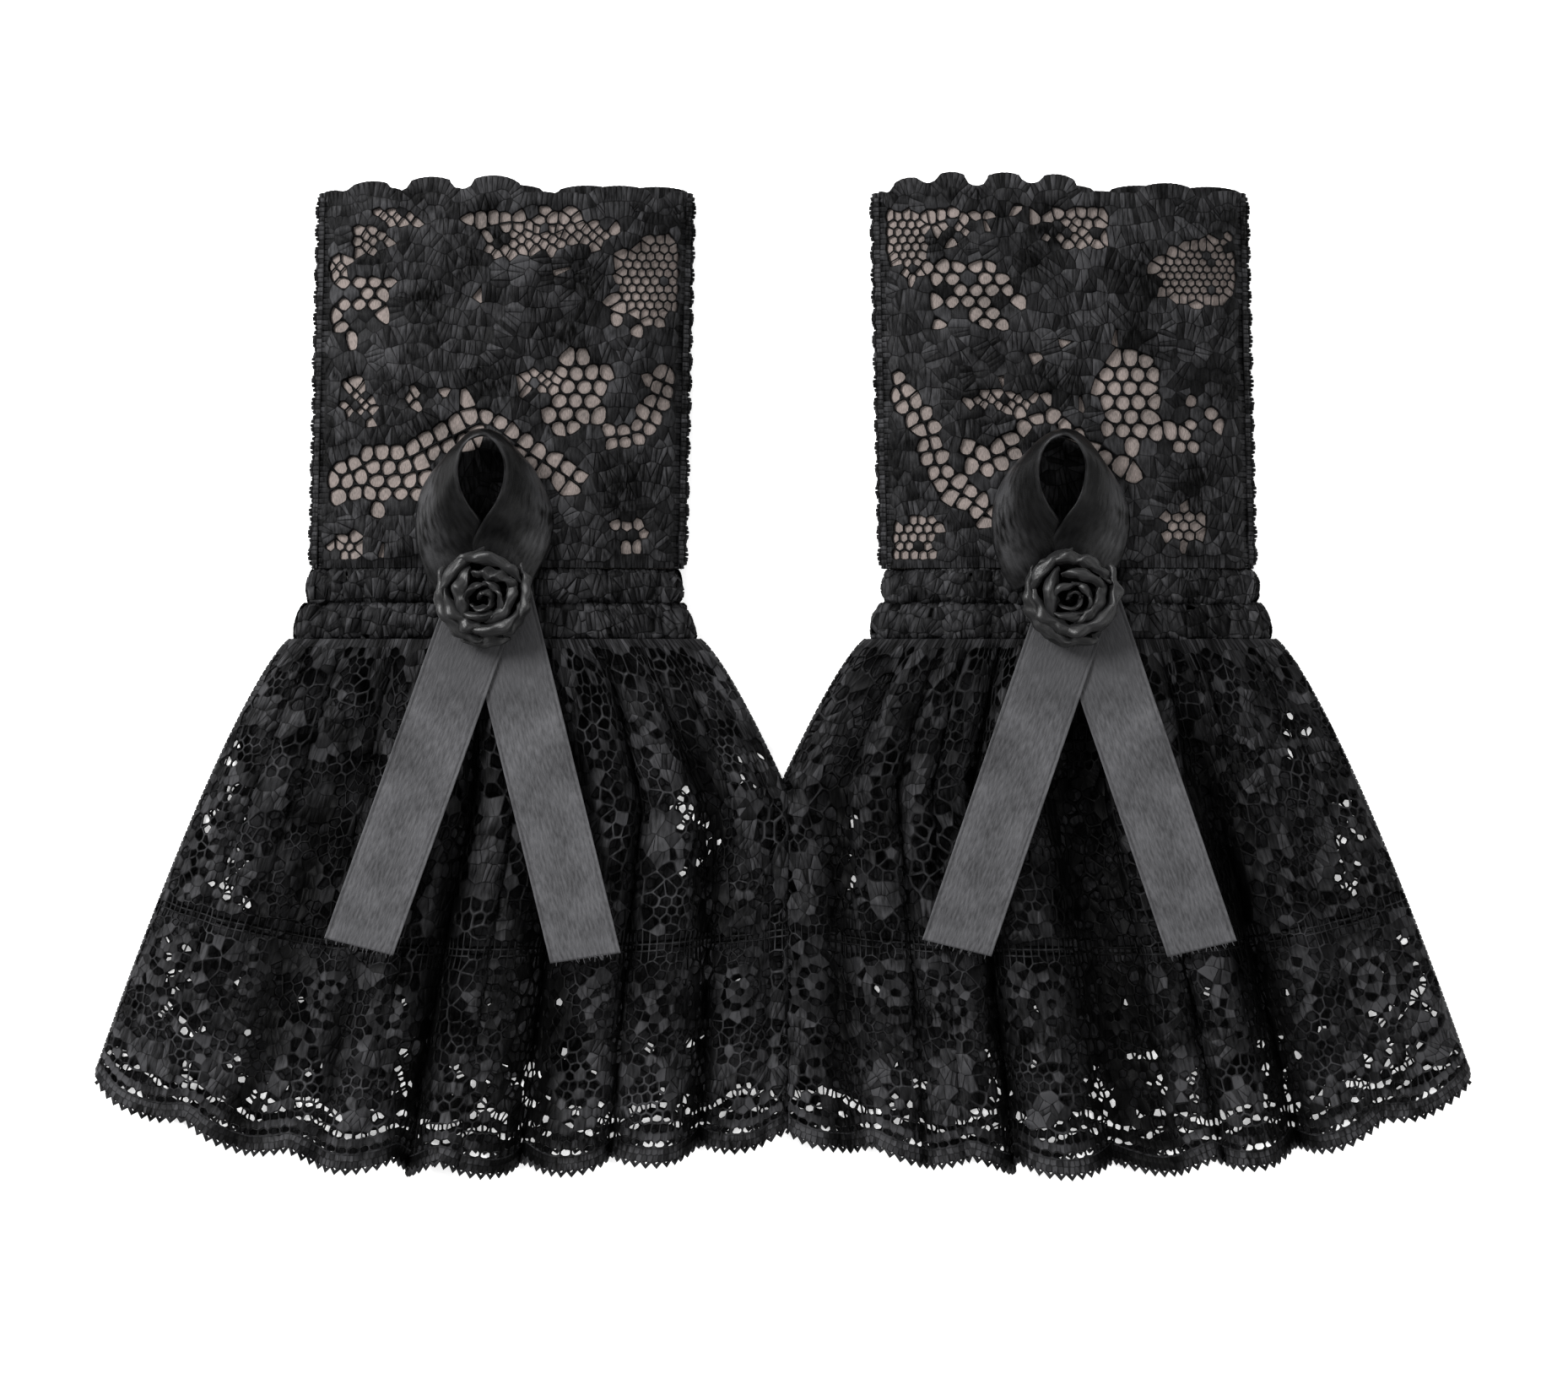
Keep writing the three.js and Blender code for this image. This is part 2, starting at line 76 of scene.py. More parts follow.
light = {
    "keyPlace": (-0.75, 0.55, 0.8), "keySize": 0.45, "keyPower": 27,
    "fillPlace": (0.8, -0.2, 0.9), "fillSize": 0.9, "fillPower": 6,
    "rimPlace": (0.1, 1.2, 0.5), "rimSize": 0.8, "rimPower": 4,
    "sky": 0.6, "tableGlow": 0.4,
}


def addLight(name):
    lamp = bpy.data.lights.new(name, "AREA")
    lamp.energy = light[name + "Power"]
    lamp.size = light[name + "Size"]
    holder = bpy.data.objects.new(name, lamp)
    holder.location = light[name + "Place"]
    holder.rotation_euler = (-Vector(light[name + "Place"])).to_track_quat("-Z", "Y").to_euler()
    scene.collection.objects.link(holder)


def setLight():
    for name in ("key", "fill", "rim"):
        addLight(name)
    world = bpy.data.worlds.new("studio")
    world.use_nodes = True
    sky = world.node_tree.nodes["Background"]
    sky.inputs["Color"].default_value = (1, 1, 1, 1)
    sky.inputs["Strength"].default_value = light["sky"]
    scene.world = world
    scene.view_settings.view_transform = "Standard"


def makeFloor():
    bpy.ops.object.select_all(action="DESELECT")
    bpy.ops.mesh.primitive_plane_add(size=6, location=(0, 0, -0.0002))
    floor = bpy.context.object
    floor.name = "table"
    paint = bpy.data.materials.new("tablePaper")
    paint.use_nodes = True
    shader = paint.node_tree.nodes["Principled BSDF"]
    shader.inputs["Base Color"].default_value = (0.93, 0.93, 0.93, 1)
    shader.inputs["Roughness"].default_value = 0.9
    shader.inputs["Specular IOR Level"].default_value = 0.1
    shader.inputs["Emission Color"].default_value = (1, 1, 1, 1)
    shader.inputs["Emission Strength"].default_value = light["tableGlow"]
    floor.data.materials.append(paint)


setCamera()
setLight()
makeFloor()
print("camera, light and table set")


# ---- materials ----
def addMath(nodes, operation, factor=None):
    node = nodes.new("ShaderNodeMath")
    node.operation = operation
    if factor is not None:
        node.inputs[1].default_value = factor
    return node


def makeThreadGroup():
    # streaks that run along the thread, a fine fuzz, and slow patches where the dye is uneven
    group = bpy.data.node_groups.new("threadGrain", "ShaderNodeTree")
    sockets = group.interface
    for name, kind in (("Vector", "Vector"), ("Dark", "Color"), ("Light", "Color"), ("Streaks", "Float"),
                       ("Depth", "Float"), ("Rough", "Float"), ("Tone", "Float")):
        sockets.new_socket(name, in_out="INPUT", socket_type="NodeSocket" + kind)
    for name, kind in (("Color", "Color"), ("Roughness", "Float"), ("Normal", "Vector")):
        sockets.new_socket(name, in_out="OUTPUT", socket_type="NodeSocket" + kind)
    nodes, links = group.nodes, group.links
    start = nodes.new("NodeGroupInput")
    end = nodes.new("NodeGroupOutput")
    stretch = nodes.new("ShaderNodeMapping")
    stretch.inputs["Scale"].default_value = (1, 0.22, 1)
    streak = nodes.new("ShaderNodeTexNoise")
    streak.inputs["Detail"].default_value = 3
    patch = nodes.new("ShaderNodeTexNoise")
    patch.inputs["Scale"].default_value = 9
    fuzz = nodes.new("ShaderNodeTexNoise")
    fuzz.inputs["Scale"].default_value = 420
    links.new(start.outputs["Vector"], stretch.inputs["Vector"])
    links.new(stretch.outputs["Vector"], streak.inputs["Vector"])
    links.new(start.outputs["Streaks"], streak.inputs["Scale"])
    links.new(start.outputs["Vector"], patch.inputs["Vector"])
    links.new(start.outputs["Vector"], fuzz.inputs["Vector"])
    blendAll = addMath(nodes, "MULTIPLY_ADD", 0.5)
    links.new(patch.outputs["Fac"], blendAll.inputs[0])
    half = addMath(nodes, "MULTIPLY", 0.5)
    links.new(streak.outputs["Fac"], half.inputs[0])
    links.new(half.outputs[0], blendAll.inputs[2])
    spread = nodes.new("ShaderNodeMapRange")
    spread.inputs["From Min"].default_value = 0.36
    spread.inputs["From Max"].default_value = 0.64
    links.new(blendAll.outputs[0], spread.inputs["Value"])
    tint = nodes.new("ShaderNodeMix")
    tint.data_type = "RGBA"
    toned = addMath(nodes, "MULTIPLY")
    links.new(spread.outputs["Result"], toned.inputs[0])
    links.new(start.outputs["Tone"], toned.inputs[1])
    links.new(toned.outputs[0], tint.inputs["Factor"])
    links.new(start.outputs["Dark"], tint.inputs["A"])
    links.new(start.outputs["Light"], tint.inputs["B"])
    links.new(tint.outputs["Result"], end.inputs["Color"])
    roughness = addMath(nodes, "MULTIPLY_ADD", 0.2)
    links.new(fuzz.outputs["Fac"], roughness.inputs[0])
    links.new(start.outputs["Rough"], roughness.inputs[2])
    links.new(roughness.outputs[0], end.inputs["Roughness"])
    height = addMath(nodes, "MULTIPLY_ADD", 0.35)
    links.new(fuzz.outputs["Fac"], height.inputs[0])
    links.new(streak.outputs["Fac"], height.inputs[2])
    bump = nodes.new("ShaderNodeBump")
    bump.inputs["Distance"].default_value = 0.0002
    links.new(start.outputs["Depth"], bump.inputs["Strength"])
    links.new(height.outputs[0], bump.inputs["Height"])
    links.new(bump.outputs["Normal"], end.inputs["Normal"])
    return group


threadGroup = makeThreadGroup()


def threadMaterial(name, look):
    # look: dark and light tints, streaks per 100 mm, depth, rough, gloss and sheen; relief reads the mesh's
    # crown values, and onCloth is False where the mesh has no cloth map
    material = bpy.data.materials.new(name)
    material.use_nodes = True
    nodes, links = material.node_tree.nodes, material.node_tree.links
    shader = nodes["Principled BSDF"]
    shader.inputs["Specular IOR Level"].default_value = look["gloss"]
    shader.inputs["Sheen Weight"].default_value = look["sheen"]
    shader.inputs["Sheen Roughness"].default_value = 0.45
    grain = nodes.new("ShaderNodeGroup")
    grain.node_tree = threadGroup
    for word in ("dark", "light"):
        grain.inputs[word.capitalize()].default_value = (*look[word], 1)
    for word in ("streaks", "depth", "rough"):
        grain.inputs[word.capitalize()].default_value = look[word]
    if look.get("onCloth", True):
        place = nodes.new("ShaderNodeUVMap")
        place.uv_map = "cloth"
        links.new(place.outputs["UV"], grain.inputs["Vector"])
    else:
        place = nodes.new("ShaderNodeTexCoord")
        bigger = nodes.new("ShaderNodeMapping")
        bigger.inputs["Scale"].default_value = (10, 10, 10)
        links.new(place.outputs["Object"], bigger.inputs["Vector"])
        links.new(bigger.outputs["Vector"], grain.inputs["Vector"])
    grain.inputs["Tone"].default_value = 1
    if look.get("relief"):  # painted light and shade from the mesh's crown values: threads are lighter on their crowns than in the grooves between
        crown = nodes.new("ShaderNodeAttribute")
        crown.attribute_name = "crown"
        links.new(crown.outputs["Fac"], grain.inputs["Tone"])
    links.new(grain.outputs["Color"], shader.inputs["Base Color"])
    links.new(grain.outputs["Roughness"], shader.inputs["Roughness"])
    links.new(grain.outputs["Normal"], shader.inputs["Normal"])
    return material


laceThread = threadMaterial("laceThread", {
    "dark": (0.0005, 0.0005, 0.0005), "light": (0.033, 0.033, 0.035), "streaks": 190, "depth": 0.8,
    "rough": 0.36, "gloss": 0.03, "sheen": 0, "relief": True})
ruffleThread = threadMaterial("ruffleThread", {
    "dark": (0.0005, 0.0005, 0.0005), "light": (0.032, 0.032, 0.034), "streaks": 140, "depth": 0.6,
    "rough": 0.4, "gloss": 0.03, "sheen": 0, "relief": True})
liningCloth = threadMaterial("liningCloth", {
    "dark": (0.08, 0.07, 0.065), "light": (0.215, 0.18, 0.167), "streaks": 500, "depth": 0.8,
    "rough": 0.75, "gloss": 0.1, "sheen": 0})
elasticWeave = threadMaterial("elasticWeave", {
    "dark": (0.008, 0.008, 0.008), "light": (0.02, 0.02, 0.02), "streaks": 120, "depth": 0.6,
    "rough": 0.7, "gloss": 0.2, "sheen": 0.05, "onCloth": False})
tailWeave = threadMaterial("tailWeave", {
    "dark": (0.024, 0.024, 0.0255), "light": (0.066, 0.066, 0.07), "streaks": 210, "depth": 0.8,
    "rough": 0.5, "gloss": 0.12, "sheen": 0.03, "relief": True})
satinFace = threadMaterial("satinFace", {
    "dark": (0.003, 0.003, 0.0032), "light": (0.0115, 0.0115, 0.0121), "streaks": 130, "depth": 0.5,
    "rough": 0.3, "gloss": 0.27, "sheen": 0.03})
loopSatin = threadMaterial("loopSatin", {
    "dark": (0.0004, 0.0004, 0.0004), "light": (0.03, 0.03, 0.0315), "streaks": 110, "depth": 0.6,
    "rough": 0.22, "gloss": 0.09, "sheen": 0, "relief": True})


# ---- meshes ----
def meshObject(name, points, faces, material, clothPlace, crown=None):
    # points in millimetres; clothPlace is each point's place on the flat cloth, in millimetres
    mesh = bpy.data.meshes.new(name)
    mesh.from_pydata((np.asarray(points) * mm).tolist(), [], faces)
    mesh.validate()
    layer = mesh.uv_layers.new(name="cloth")
    corner = np.zeros(len(mesh.loops), np.int32)
    mesh.loops.foreach_get("vertex_index", corner)
    layer.data.foreach_set("uv", (np.asarray(clothPlace)[corner] / 100).astype(np.float32).ravel())
    if crown is not None:
        layer = mesh.attributes.new("crown", "FLOAT", "POINT")
        values = np.broadcast_to(np.asarray(crown, np.float32), (len(mesh.vertices),))
        layer.data.foreach_set("value", values.copy())
    piece = bpy.data.objects.new(name, mesh)
    scene.collection.objects.link(piece)
    mesh.materials.append(material)
    mesh.shade_smooth()
    return piece


def pick(*pieces):
    bpy.ops.object.select_all(action="DESELECT")
    for piece in pieces:
        piece.select_set(True)
    bpy.context.view_layer.objects.active = pieces[0]


def thicken(piece, thickness, offset=-1):
    pick(piece)
    modifier = piece.modifiers.new("thickness", "SOLIDIFY")
    modifier.thickness = thickness * mm
    modifier.offset = offset
    bpy.ops.object.modifier_apply(modifier=modifier.name)


def joined(pieces, name):
    pick(*pieces)
    bpy.ops.object.join()
    pieces[0].name = name
    return pieces[0]


def smoothStep(value, low, high):
    share = np.clip((np.asarray(value, float) - low) / (high - low), 0, 1)
    return share * share * (3 - 2 * share)


def unit(vectors):
    return vectors / np.maximum(np.linalg.norm(vectors, axis=1, keepdims=True), 1e-9)


def upright(at, ends):
    return np.column_stack([np.full(len(ends), at), ends])


def level(ends, at):
    return np.column_stack([ends, np.full(len(ends), at)])


def pathLength(points):
    # how far along the path each of its points is
    return np.concatenate([[0], np.cumsum(np.linalg.norm(np.diff(points, axis=0), axis=1))])


def laidOn(surface, flat, height):
    # surface(a, b) gives points for arrays of cloth places; height is how far each point stands off the cloth
    step = 0.05
    a, b = flat[:, 0], flat[:, 1]
    middle = surface(a, b)
    alongA = surface(a + step, b) - surface(a - step, b)
    alongB = surface(a, b + step) - surface(a, b - step)
    return middle + unit(np.cross(alongA, alongB)) * np.asarray(height)[:, None]


# ---- lace ----
# Lace is a net of cells. Each seed makes one cell: an open cell is a hole with a round rim, and a filled cell
# is a raised stitch. Seeds past the edge of the cloth only square up the edge.
def cellOutlines(seeds):
    seeds = np.asarray(seeds, float)
    points, _, faces, sources, _, _ = delaunay_2d_cdt([Vector(p) for p in seeds], [], [], 0, 1e-5)
    points = np.array([(p.x, p.y) for p in points])
    source = [s[0] if s else -1 for s in sources]
    tri = np.array([f for f in faces if len(f) == 3])
    p, q, r = points[tri[:, 0]], points[tri[:, 1]], points[tri[:, 2]]
    qp, rp = q - p, r - p
    twice = 2 * (qp[:, 0] * rp[:, 1] - qp[:, 1] * rp[:, 0])
    twice[np.abs(twice) < 1e-9] = 1e-9
    qq, rr = (qp ** 2).sum(1), (rp ** 2).sum(1)
    centres = p + np.stack([(rp[:, 1] * qq - qp[:, 1] * rr) / twice,
                            (qp[:, 0] * rr - rp[:, 0] * qq) / twice], 1)
    around = [[] for _ in seeds]
    for t, corners in enumerate(tri):
        for corner in corners:
            if source[corner] >= 0:
                around[source[corner]].append(t)
    for i, own in enumerate(around):
        if len(own) < 3:
            around[i] = []
            continue
        offset = centres[own] - seeds[i]
        order = np.argsort(np.arctan2(offset[:, 1], offset[:, 0]))
        around[i] = [own[k] for k in order]
    owner = np.array(source)[tri]
    return centres, around, owner


def pulledIn(corners, middle, inset):
    # an outline drawn in by an even amount, both along and across its longer direction
    offset = corners - middle
    spread = offset.T @ offset
    turn = 0.5 * math.atan2(2 * spread[0, 1], spread[0, 0] - spread[1, 1])
    moved = np.zeros_like(offset)
    c, s = math.cos(turn), math.sin(turn)
    for direction in (np.array([c, s]), np.array([-s, c])):
        part = offset @ direction
        moved += np.outer(part * max(1 - inset / max(np.abs(part).max(), 1e-6), 0.3), direction)
    return middle + moved


def laceSheet(plan):
    # plan: seeds, kept, open, thread (width of the net's thread), rise (how proud a filled cell is), lift
    # (relief), cluster (its motif), and for the whole sheet gimp, shine, netShine and slope
    seeds, kept, cluster = plan["seeds"], plan["kept"], plan["cluster"]
    centres, around, owner = cellOutlines(seeds)
    meeting = np.ptp(cluster[owner], axis=1) > 0  # where two motifs meet, a cord outlines them
    used = {}
    # tone is painted light and shade: the stitches' crowns and the net's cord tops are painted lighter, the
    # grooves between stitches and the rims of holes darker
    flat, height, weight, proud, tone, faces = [], [], [], [], [], []
    random = np.random.default_rng(len(seeds))
    # painted highlight on the stitches' crowns, stronger on some motifs and stitches than others at random
    block = random.uniform(0.55, 1.2, 1000)[cluster.astype(int) % 1000]
    catches = plan["shine"] * block * random.uniform(0.25, 1.0, len(seeds)) ** 1.3

    def shared(t, wanted, shine):
        if t not in used:
            used[t] = len(flat)
            flat.append(centres[t])
            height.append(0.0)
            weight.append(0)
            proud.append(plan["gimp"] * meeting[t])
            tone.append(0.12 * meeting[t])
        at = used[t]
        height[at] += wanted
        tone[at] += shine * 0.34
        weight[at] += 1
        return at

    def own(place, stand, shine):
        tone.append(shine)
        flat.append(place)
        height.append(stand)
        weight.append(1)
        proud.append(0.0)
        return len(flat) - 1

    def band(outside, inside):
        for k in range(len(outside)):
            n = (k + 1) % len(outside)
            faces.append((outside[k], outside[n], inside[n], inside[k]))

    for i in np.flatnonzero(kept):
        ring = around[i]
        if len(ring) < 3:
            continue
        corners = centres[ring]
        if np.abs(corners - seeds[i]).max() > plan["largest"]:
            continue
        lift = plan["lift"][i]
        middle = corners.mean(0)
        nextCorners = np.roll(corners, -1, axis=0)
        edge = nextCorners - corners
        length = np.maximum(np.linalg.norm(edge, axis=1), 1e-6)
        reach = np.abs(edge[:, 0] * (middle - corners)[:, 1] - edge[:, 1] * (middle - corners)[:, 0]) / length
        solid = length > 0.05
        inRadius = reach[solid].mean() if solid.any() else reach.mean()
        count = len(ring)
        if plan["open"][i] and inRadius > plan["thread"][i] * 0.75:
            keep = 1 - plan["thread"][i] * 0.5 / inRadius
            inner = middle + (corners - middle) * keep
            outer = [shared(t, lift + plan["thread"][i] * 0.28, plan["netShine"] * catches[i]) for t in ring]
            if inRadius < 1.3:  # a small hole needs no rounding
                band(outer, [own(place, lift - 0.04, 0.15) for place in inner])
                continue
            nextInner = np.roll(inner, -1, axis=0)
            first = [own(place, lift - 0.04, 0.15) for place in inner * 0.72 + nextInner * 0.28]
            second = [own(place, lift - 0.04, 0.15) for place in inner * 0.28 + nextInner * 0.72]
            for k in range(count):
                n = (k + 1) % count
                faces.append((outer[k], outer[n], second[k], first[k]))
                faces.append((outer[k], first[k], second[k - 1]))
        else:
            outer = [shared(t, lift, 0.0) for t in ring]
            inner = pulledIn(corners, middle, plan["slope"])
            crown = [own(place, lift + plan["rise"][i], catches[i]) for place in inner]
            band(outer, crown)
            faces.append(tuple(crown))
    height = np.array(height) / np.maximum(np.array(weight), 1) + np.array(proud)
    return np.array(flat), height, faces, np.clip(tone, 0, 1.3)


def cordOn(surface, path, radius, stand, sides=4):
    # a raised cord that follows a path over the cloth; path is [a, b] places
    path = np.asarray(path, float)
    count = len(path)
    middle = laidOn(surface, path, np.full(count, stand))
    above = unit(laidOn(surface, path, np.full(count, stand + 0.2)) - middle)
    across = np.cross(unit(np.gradient(middle, axis=0)), above)
    points, places = [], []
    for k in range(sides):
        turn = 2 * math.pi * k / sides
        points.append(middle + (across * math.cos(turn) + above * math.sin(turn)) * radius)
        places.append(path + np.array([0.3 * math.cos(turn), 0.3 * math.sin(turn)]))
    points = np.stack(points, 1).reshape(-1, 3)
    places = np.stack(places, 1).reshape(-1, 2)
    faces = []
    for i in range(count - 1):
        here, there = i * sides, (i + 1) * sides
        for k in range(sides):
            n = (k + 1) % sides
            faces.append((here + k, here + n, there + n, there + k))
    faces.append(tuple(range(sides))[::-1])
    faces.append(tuple((count - 1) * sides + k for k in range(sides)))
    return points, faces, places


def gathered(parts):
    # several (points, faces, places) made into one
    points, faces, places, start = [], [], [], 0
    for part in parts:
        points.append(part[0])
        places.append(part[2])
        faces.extend(tuple(start + v for v in face) for face in part[1])
        start += len(part[0])
    return np.concatenate(points), faces, np.concatenate(places)


def noiseField(seed, size, amount):
    # a smooth random field over the cloth, from a few waves in random directions
    random = np.random.default_rng(seed)
    angle = random.uniform(0, 2 * math.pi, 6)
    phase = random.uniform(0, 2 * math.pi, 6)
    pace = 2 * math.pi / (size * random.uniform(0.7, 1.6, 6))

    def field(a, b):
        total = 0
        for k in range(6):
            total = total + np.sin((a * np.cos(angle[k]) + b * np.sin(angle[k])) * pace[k] + phase[k])
        return total * amount / 2.4

    return field


def hexSeeds(low, high, size, random, jitter):
    step = size * 1.075
    rows = int((high[1] - low[1]) / (step * 0.866)) + 2
    columns = int((high[0] - low[0]) / step) + 2
    row, column = np.mgrid[0:rows, 0:columns]
    a = low[0] + (column + 0.5 * (row % 2)) * step
    b = low[1] + row * step * 0.866
    seeds = np.stack([a.ravel(), b.ravel()], 1)
    return seeds + random.uniform(-jitter, jitter, seeds.shape) * size


def stitchSeeds(low, high, width, length, turn, random):
    # long narrow cells, side by side in uneven rows, turned by an angle
    centre = (np.array(low) + np.array(high)) / 2
    span = np.hypot(high[0] - low[0], high[1] - low[1])
    columns = int(span / width) + 2
    rows = int(span / length) + 2
    column, row = np.mgrid[0:columns, 0:rows]
    u = (column - columns / 2) * width
    wander = np.cumsum(random.uniform(-0.13, 0.13, columns)) * length
    v = (row - rows / 2) * length + wander[:, None] + random.uniform(-0.05, 0.05, column.shape) * length
    u = u + random.uniform(-0.08, 0.08, u.shape) * width
    c, s = math.cos(turn), math.sin(turn)
    seeds = centre + np.stack([(u * c - v * s).ravel(), (u * s + v * c).ravel()], 1)
    return seeds[np.all((seeds > low) & (seeds < high), axis=1)]


def layerName(back):
    return "back" if back else "front"


def newPlan(largest, gimp, netShine=0.25, slope=0.25):
    return {"largest": largest, "gimp": gimp, "shine": 1.5, "netShine": netShine, "slope": slope, "rows": []}


def sow(plan, seeds, kept=True, isOpen=False, thread=0.45, rise=0.22, lift=0.0, cluster=-1):
    # adds seeds to a plan; each word is one value for all of them or one value each
    count = len(seeds)
    words = [np.broadcast_to(np.asarray(word, float), (count,))
             for word in (kept, isOpen, thread, rise, lift, cluster)]
    plan["rows"].append(np.column_stack([np.asarray(seeds, float).reshape(count, 2), *words]))


def finished(plan):
    rows = np.concatenate(plan["rows"])
    return {**plan, "seeds": rows[:, :2], "kept": rows[:, 2] > 0.5, "open": rows[:, 3] > 0.5,
            "thread": rows[:, 4], "rise": rows[:, 5], "lift": rows[:, 6], "cluster": rows[:, 7]}


def apartFrom(seeds, others, room):
    # True for each seed that is further than room from every one of the others
    keep = np.ones(len(seeds), bool)
    for start in range(0, len(seeds), 500):
        part = seeds[start:start + 500]
        gap = ((part[:, None, :] - others[None, :, :]) ** 2).sum(2).min(1)
        keep[start:start + 500] = gap > room * room
    return keep


def nearest(seeds, hearts):
    found = np.zeros(len(seeds), int)
    for start in range(0, len(seeds), 500):
        part = seeds[start:start + 500]
        found[start:start + 500] = ((part[:, None, :] - hearts[None, :, :]) ** 2).sum(2).argmin(1)
    return found


def evenly(path, spacing):
    length = pathLength(path)
    count = max(int(length[-1] / spacing), 2)
    at = (np.arange(count) + 0.5) * length[-1] / count
    return np.column_stack([np.interp(at, length, path[:, 0]), np.interp(at, length, path[:, 1])])


def besides(path, distance):
    # the path moved sideways, to its left as it runs
    along = unit(np.gradient(path, axis=0))
    return path + np.column_stack([-along[:, 1], along[:, 0]]) * distance


def edgeRow(plan, path, inset, spacing, **words):
    # a row of cells along an edge whose cloth lies on the path's left, and the ghost row that squares it up
    inside = evenly(besides(path, inset), spacing)
    ghosts = evenly(besides(path, -inset), spacing)
    sow(plan, inside, **words)
    sow(plan, ghosts, kept=False)
    return inside


def sideRows(plan, half, ends, inset, spacing, **words):
    # both side edges, the right one going up and the left one down
    return [edgeRow(plan, upright(half, ends), inset, spacing, **words),
            edgeRow(plan, upright(-half, ends[::-1]), inset, spacing, **words)]


def satinMotifs(hearts, low, high, width, length, random, turns):
    # stitches in blocks round their hearts, each block with its own slant
    seeds, cluster = [], []
    reach = np.sqrt(((high - low) ** 2).sum())
    for i, heart in enumerate(hearts):
        apart = np.sort(((hearts - heart) ** 2).sum(1))
        around = min(math.sqrt(apart[min(4, len(apart) - 1)]) * 1.3, reach)
        block = stitchSeeds(np.maximum(heart - around, low), np.minimum(heart + around, high), width, length,
                            turns[i], random)
        if len(block) == 0:
            continue
        block = block[nearest(block, hearts) == i]
        seeds.append(block)
        cluster.append(np.full(len(block), i))
    return np.concatenate(seeds), np.concatenate(cluster)


def flowerHearts(low, high, spacing, flowers, random):
    # flowers are (a, b, radius, petals); the rest of the cloth gets leaves at about even spacing
    hearts = []
    for a, b, radius, petals in flowers:
        hearts.append((a, b))
        start = random.uniform(0, 2 * math.pi)
        for ring, count in ((1, petals), (1.95, petals + 3)):
            for k in range(count):
                turn = start + 2 * math.pi * (k + 0.5 * (ring > 1)) / count
                hearts.append((a + radius * ring * math.cos(turn), b + radius * ring * math.sin(turn)))
    hearts = np.array(hearts).reshape(-1, 2)
    leaves = hexSeeds(low, high, spacing, random, 0.28)
    if len(hearts):
        leaves = leaves[apartFrom(leaves, hearts, spacing * 0.72)]
        hearts = np.concatenate([hearts, leaves])
    else:
        hearts = leaves
    return hearts


def awayFrom(points, x, y, halfX, halfY):
    # 1 on the rim of the ellipse, and less inside it
    return ((points[:, 0] - x) / halfX) ** 2 + ((points[:, 1] - y) / halfY) ** 2


def inBlob(seeds, blob, ragged):
    a, b, halfA, halfB = blob[:4]
    edge = ((np.abs(seeds[:, 0] - a) / halfA) ** 2.2 + (np.abs(seeds[:, 1] - b) / halfB) ** 2.2)
    return edge < 1 + ragged(seeds[:, 0], seeds[:, 1])


def report(piece):
    piece.data.calc_loop_triangles()
    print("  ", piece.name, len(piece.data.loop_triangles), "triangles")


def declareSheet(piece, body, node):
    if body:
        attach(piece, body)
    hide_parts(node)
    report(piece)


# ---- the tubes ----
tube = {
    "halfWidth": 40, "height": 12, "foldRadius": 3,
    "topOffset": 59.1, "waistOffset": 61,   # from the middle of the pair to the tube's own middle
    "top": 106, "waist": 22.3, "liningTop": 99.3,
    "frontSeam": 0.86, "backSeam": 1.07,     # where the panels end, as places on the hoop
    "thread": 0.34, "liningThickness": 0.35, "seamThickness": 0.6,
    "dip": 101.5,            # how low the top edge comes between its lobes
    "stitchWidth": 1.02, "stitchLength": 4.2,
    "seam": (0.838, 1.078),  # where the seams lie on the hoop
    "seamScallop": 4.6,      # the length of one scallop along the seams
}


def hoopPoint(hoop, place, inset):
    # the loop that a flattened tube follows: -1 to 1 over the front, 1 to 3 round the back
    halfWidth, height, fold = hoop
    place = np.where(place < -1, place + 4, place)
    angle = place * math.pi / 2
    rise = height - fold
    outX, outZ = np.sin(angle) / halfWidth, np.cos(angle) / rise
    size = np.hypot(outX, outZ)
    frontX = halfWidth * np.sin(angle) - inset * outX / size
    frontZ = fold + rise * np.cos(angle) - inset * outZ / size
    fromRight = place < 2
    share = np.where(fromRight, place - 1, 3 - place)
    corner = np.clip(share / 0.12, 0, 1) * math.pi / 2
    alongFlat = np.clip((share - 0.12) / 0.88, 0, 1)
    radius = fold - inset
    backX = (halfWidth - fold) * (1 - alongFlat) + radius * np.cos(corner)
    backZ = fold - radius * np.sin(corner)
    front = place <= 1
    return np.where(front, frontX, np.where(fromRight, backX, -backX)), np.where(front, frontZ, backZ)


def hoopArc(hoop, start, end, inset):
    place = np.linspace(start, end, 600)
    x, z = hoopPoint(hoop, place, inset)
    length = np.concatenate([[0], np.cumsum(np.hypot(np.diff(x), np.diff(z)))])
    return place, length - length[-1] / 2


def tubeSurface(side, start, end, inset, wobble=0.0):
    hoop = (tube["halfWidth"], tube["height"], tube["foldRadius"])
    place, length = hoopArc(hoop, start, end, inset)
    uneven = noiseField(4 + side, 26, wobble)

    def surface(a, b):
        x, z = hoopPoint(hoop, np.interp(a, length, place), inset + np.abs(uneven(a, b)))
        share = np.clip((b - 22) / 84, 0, 1)
        middle = side * (tube["waistOffset"] + (tube["topOffset"] - tube["waistOffset"]) * share)
        return np.column_stack([middle + x, b, z])

    return surface, length[-1]


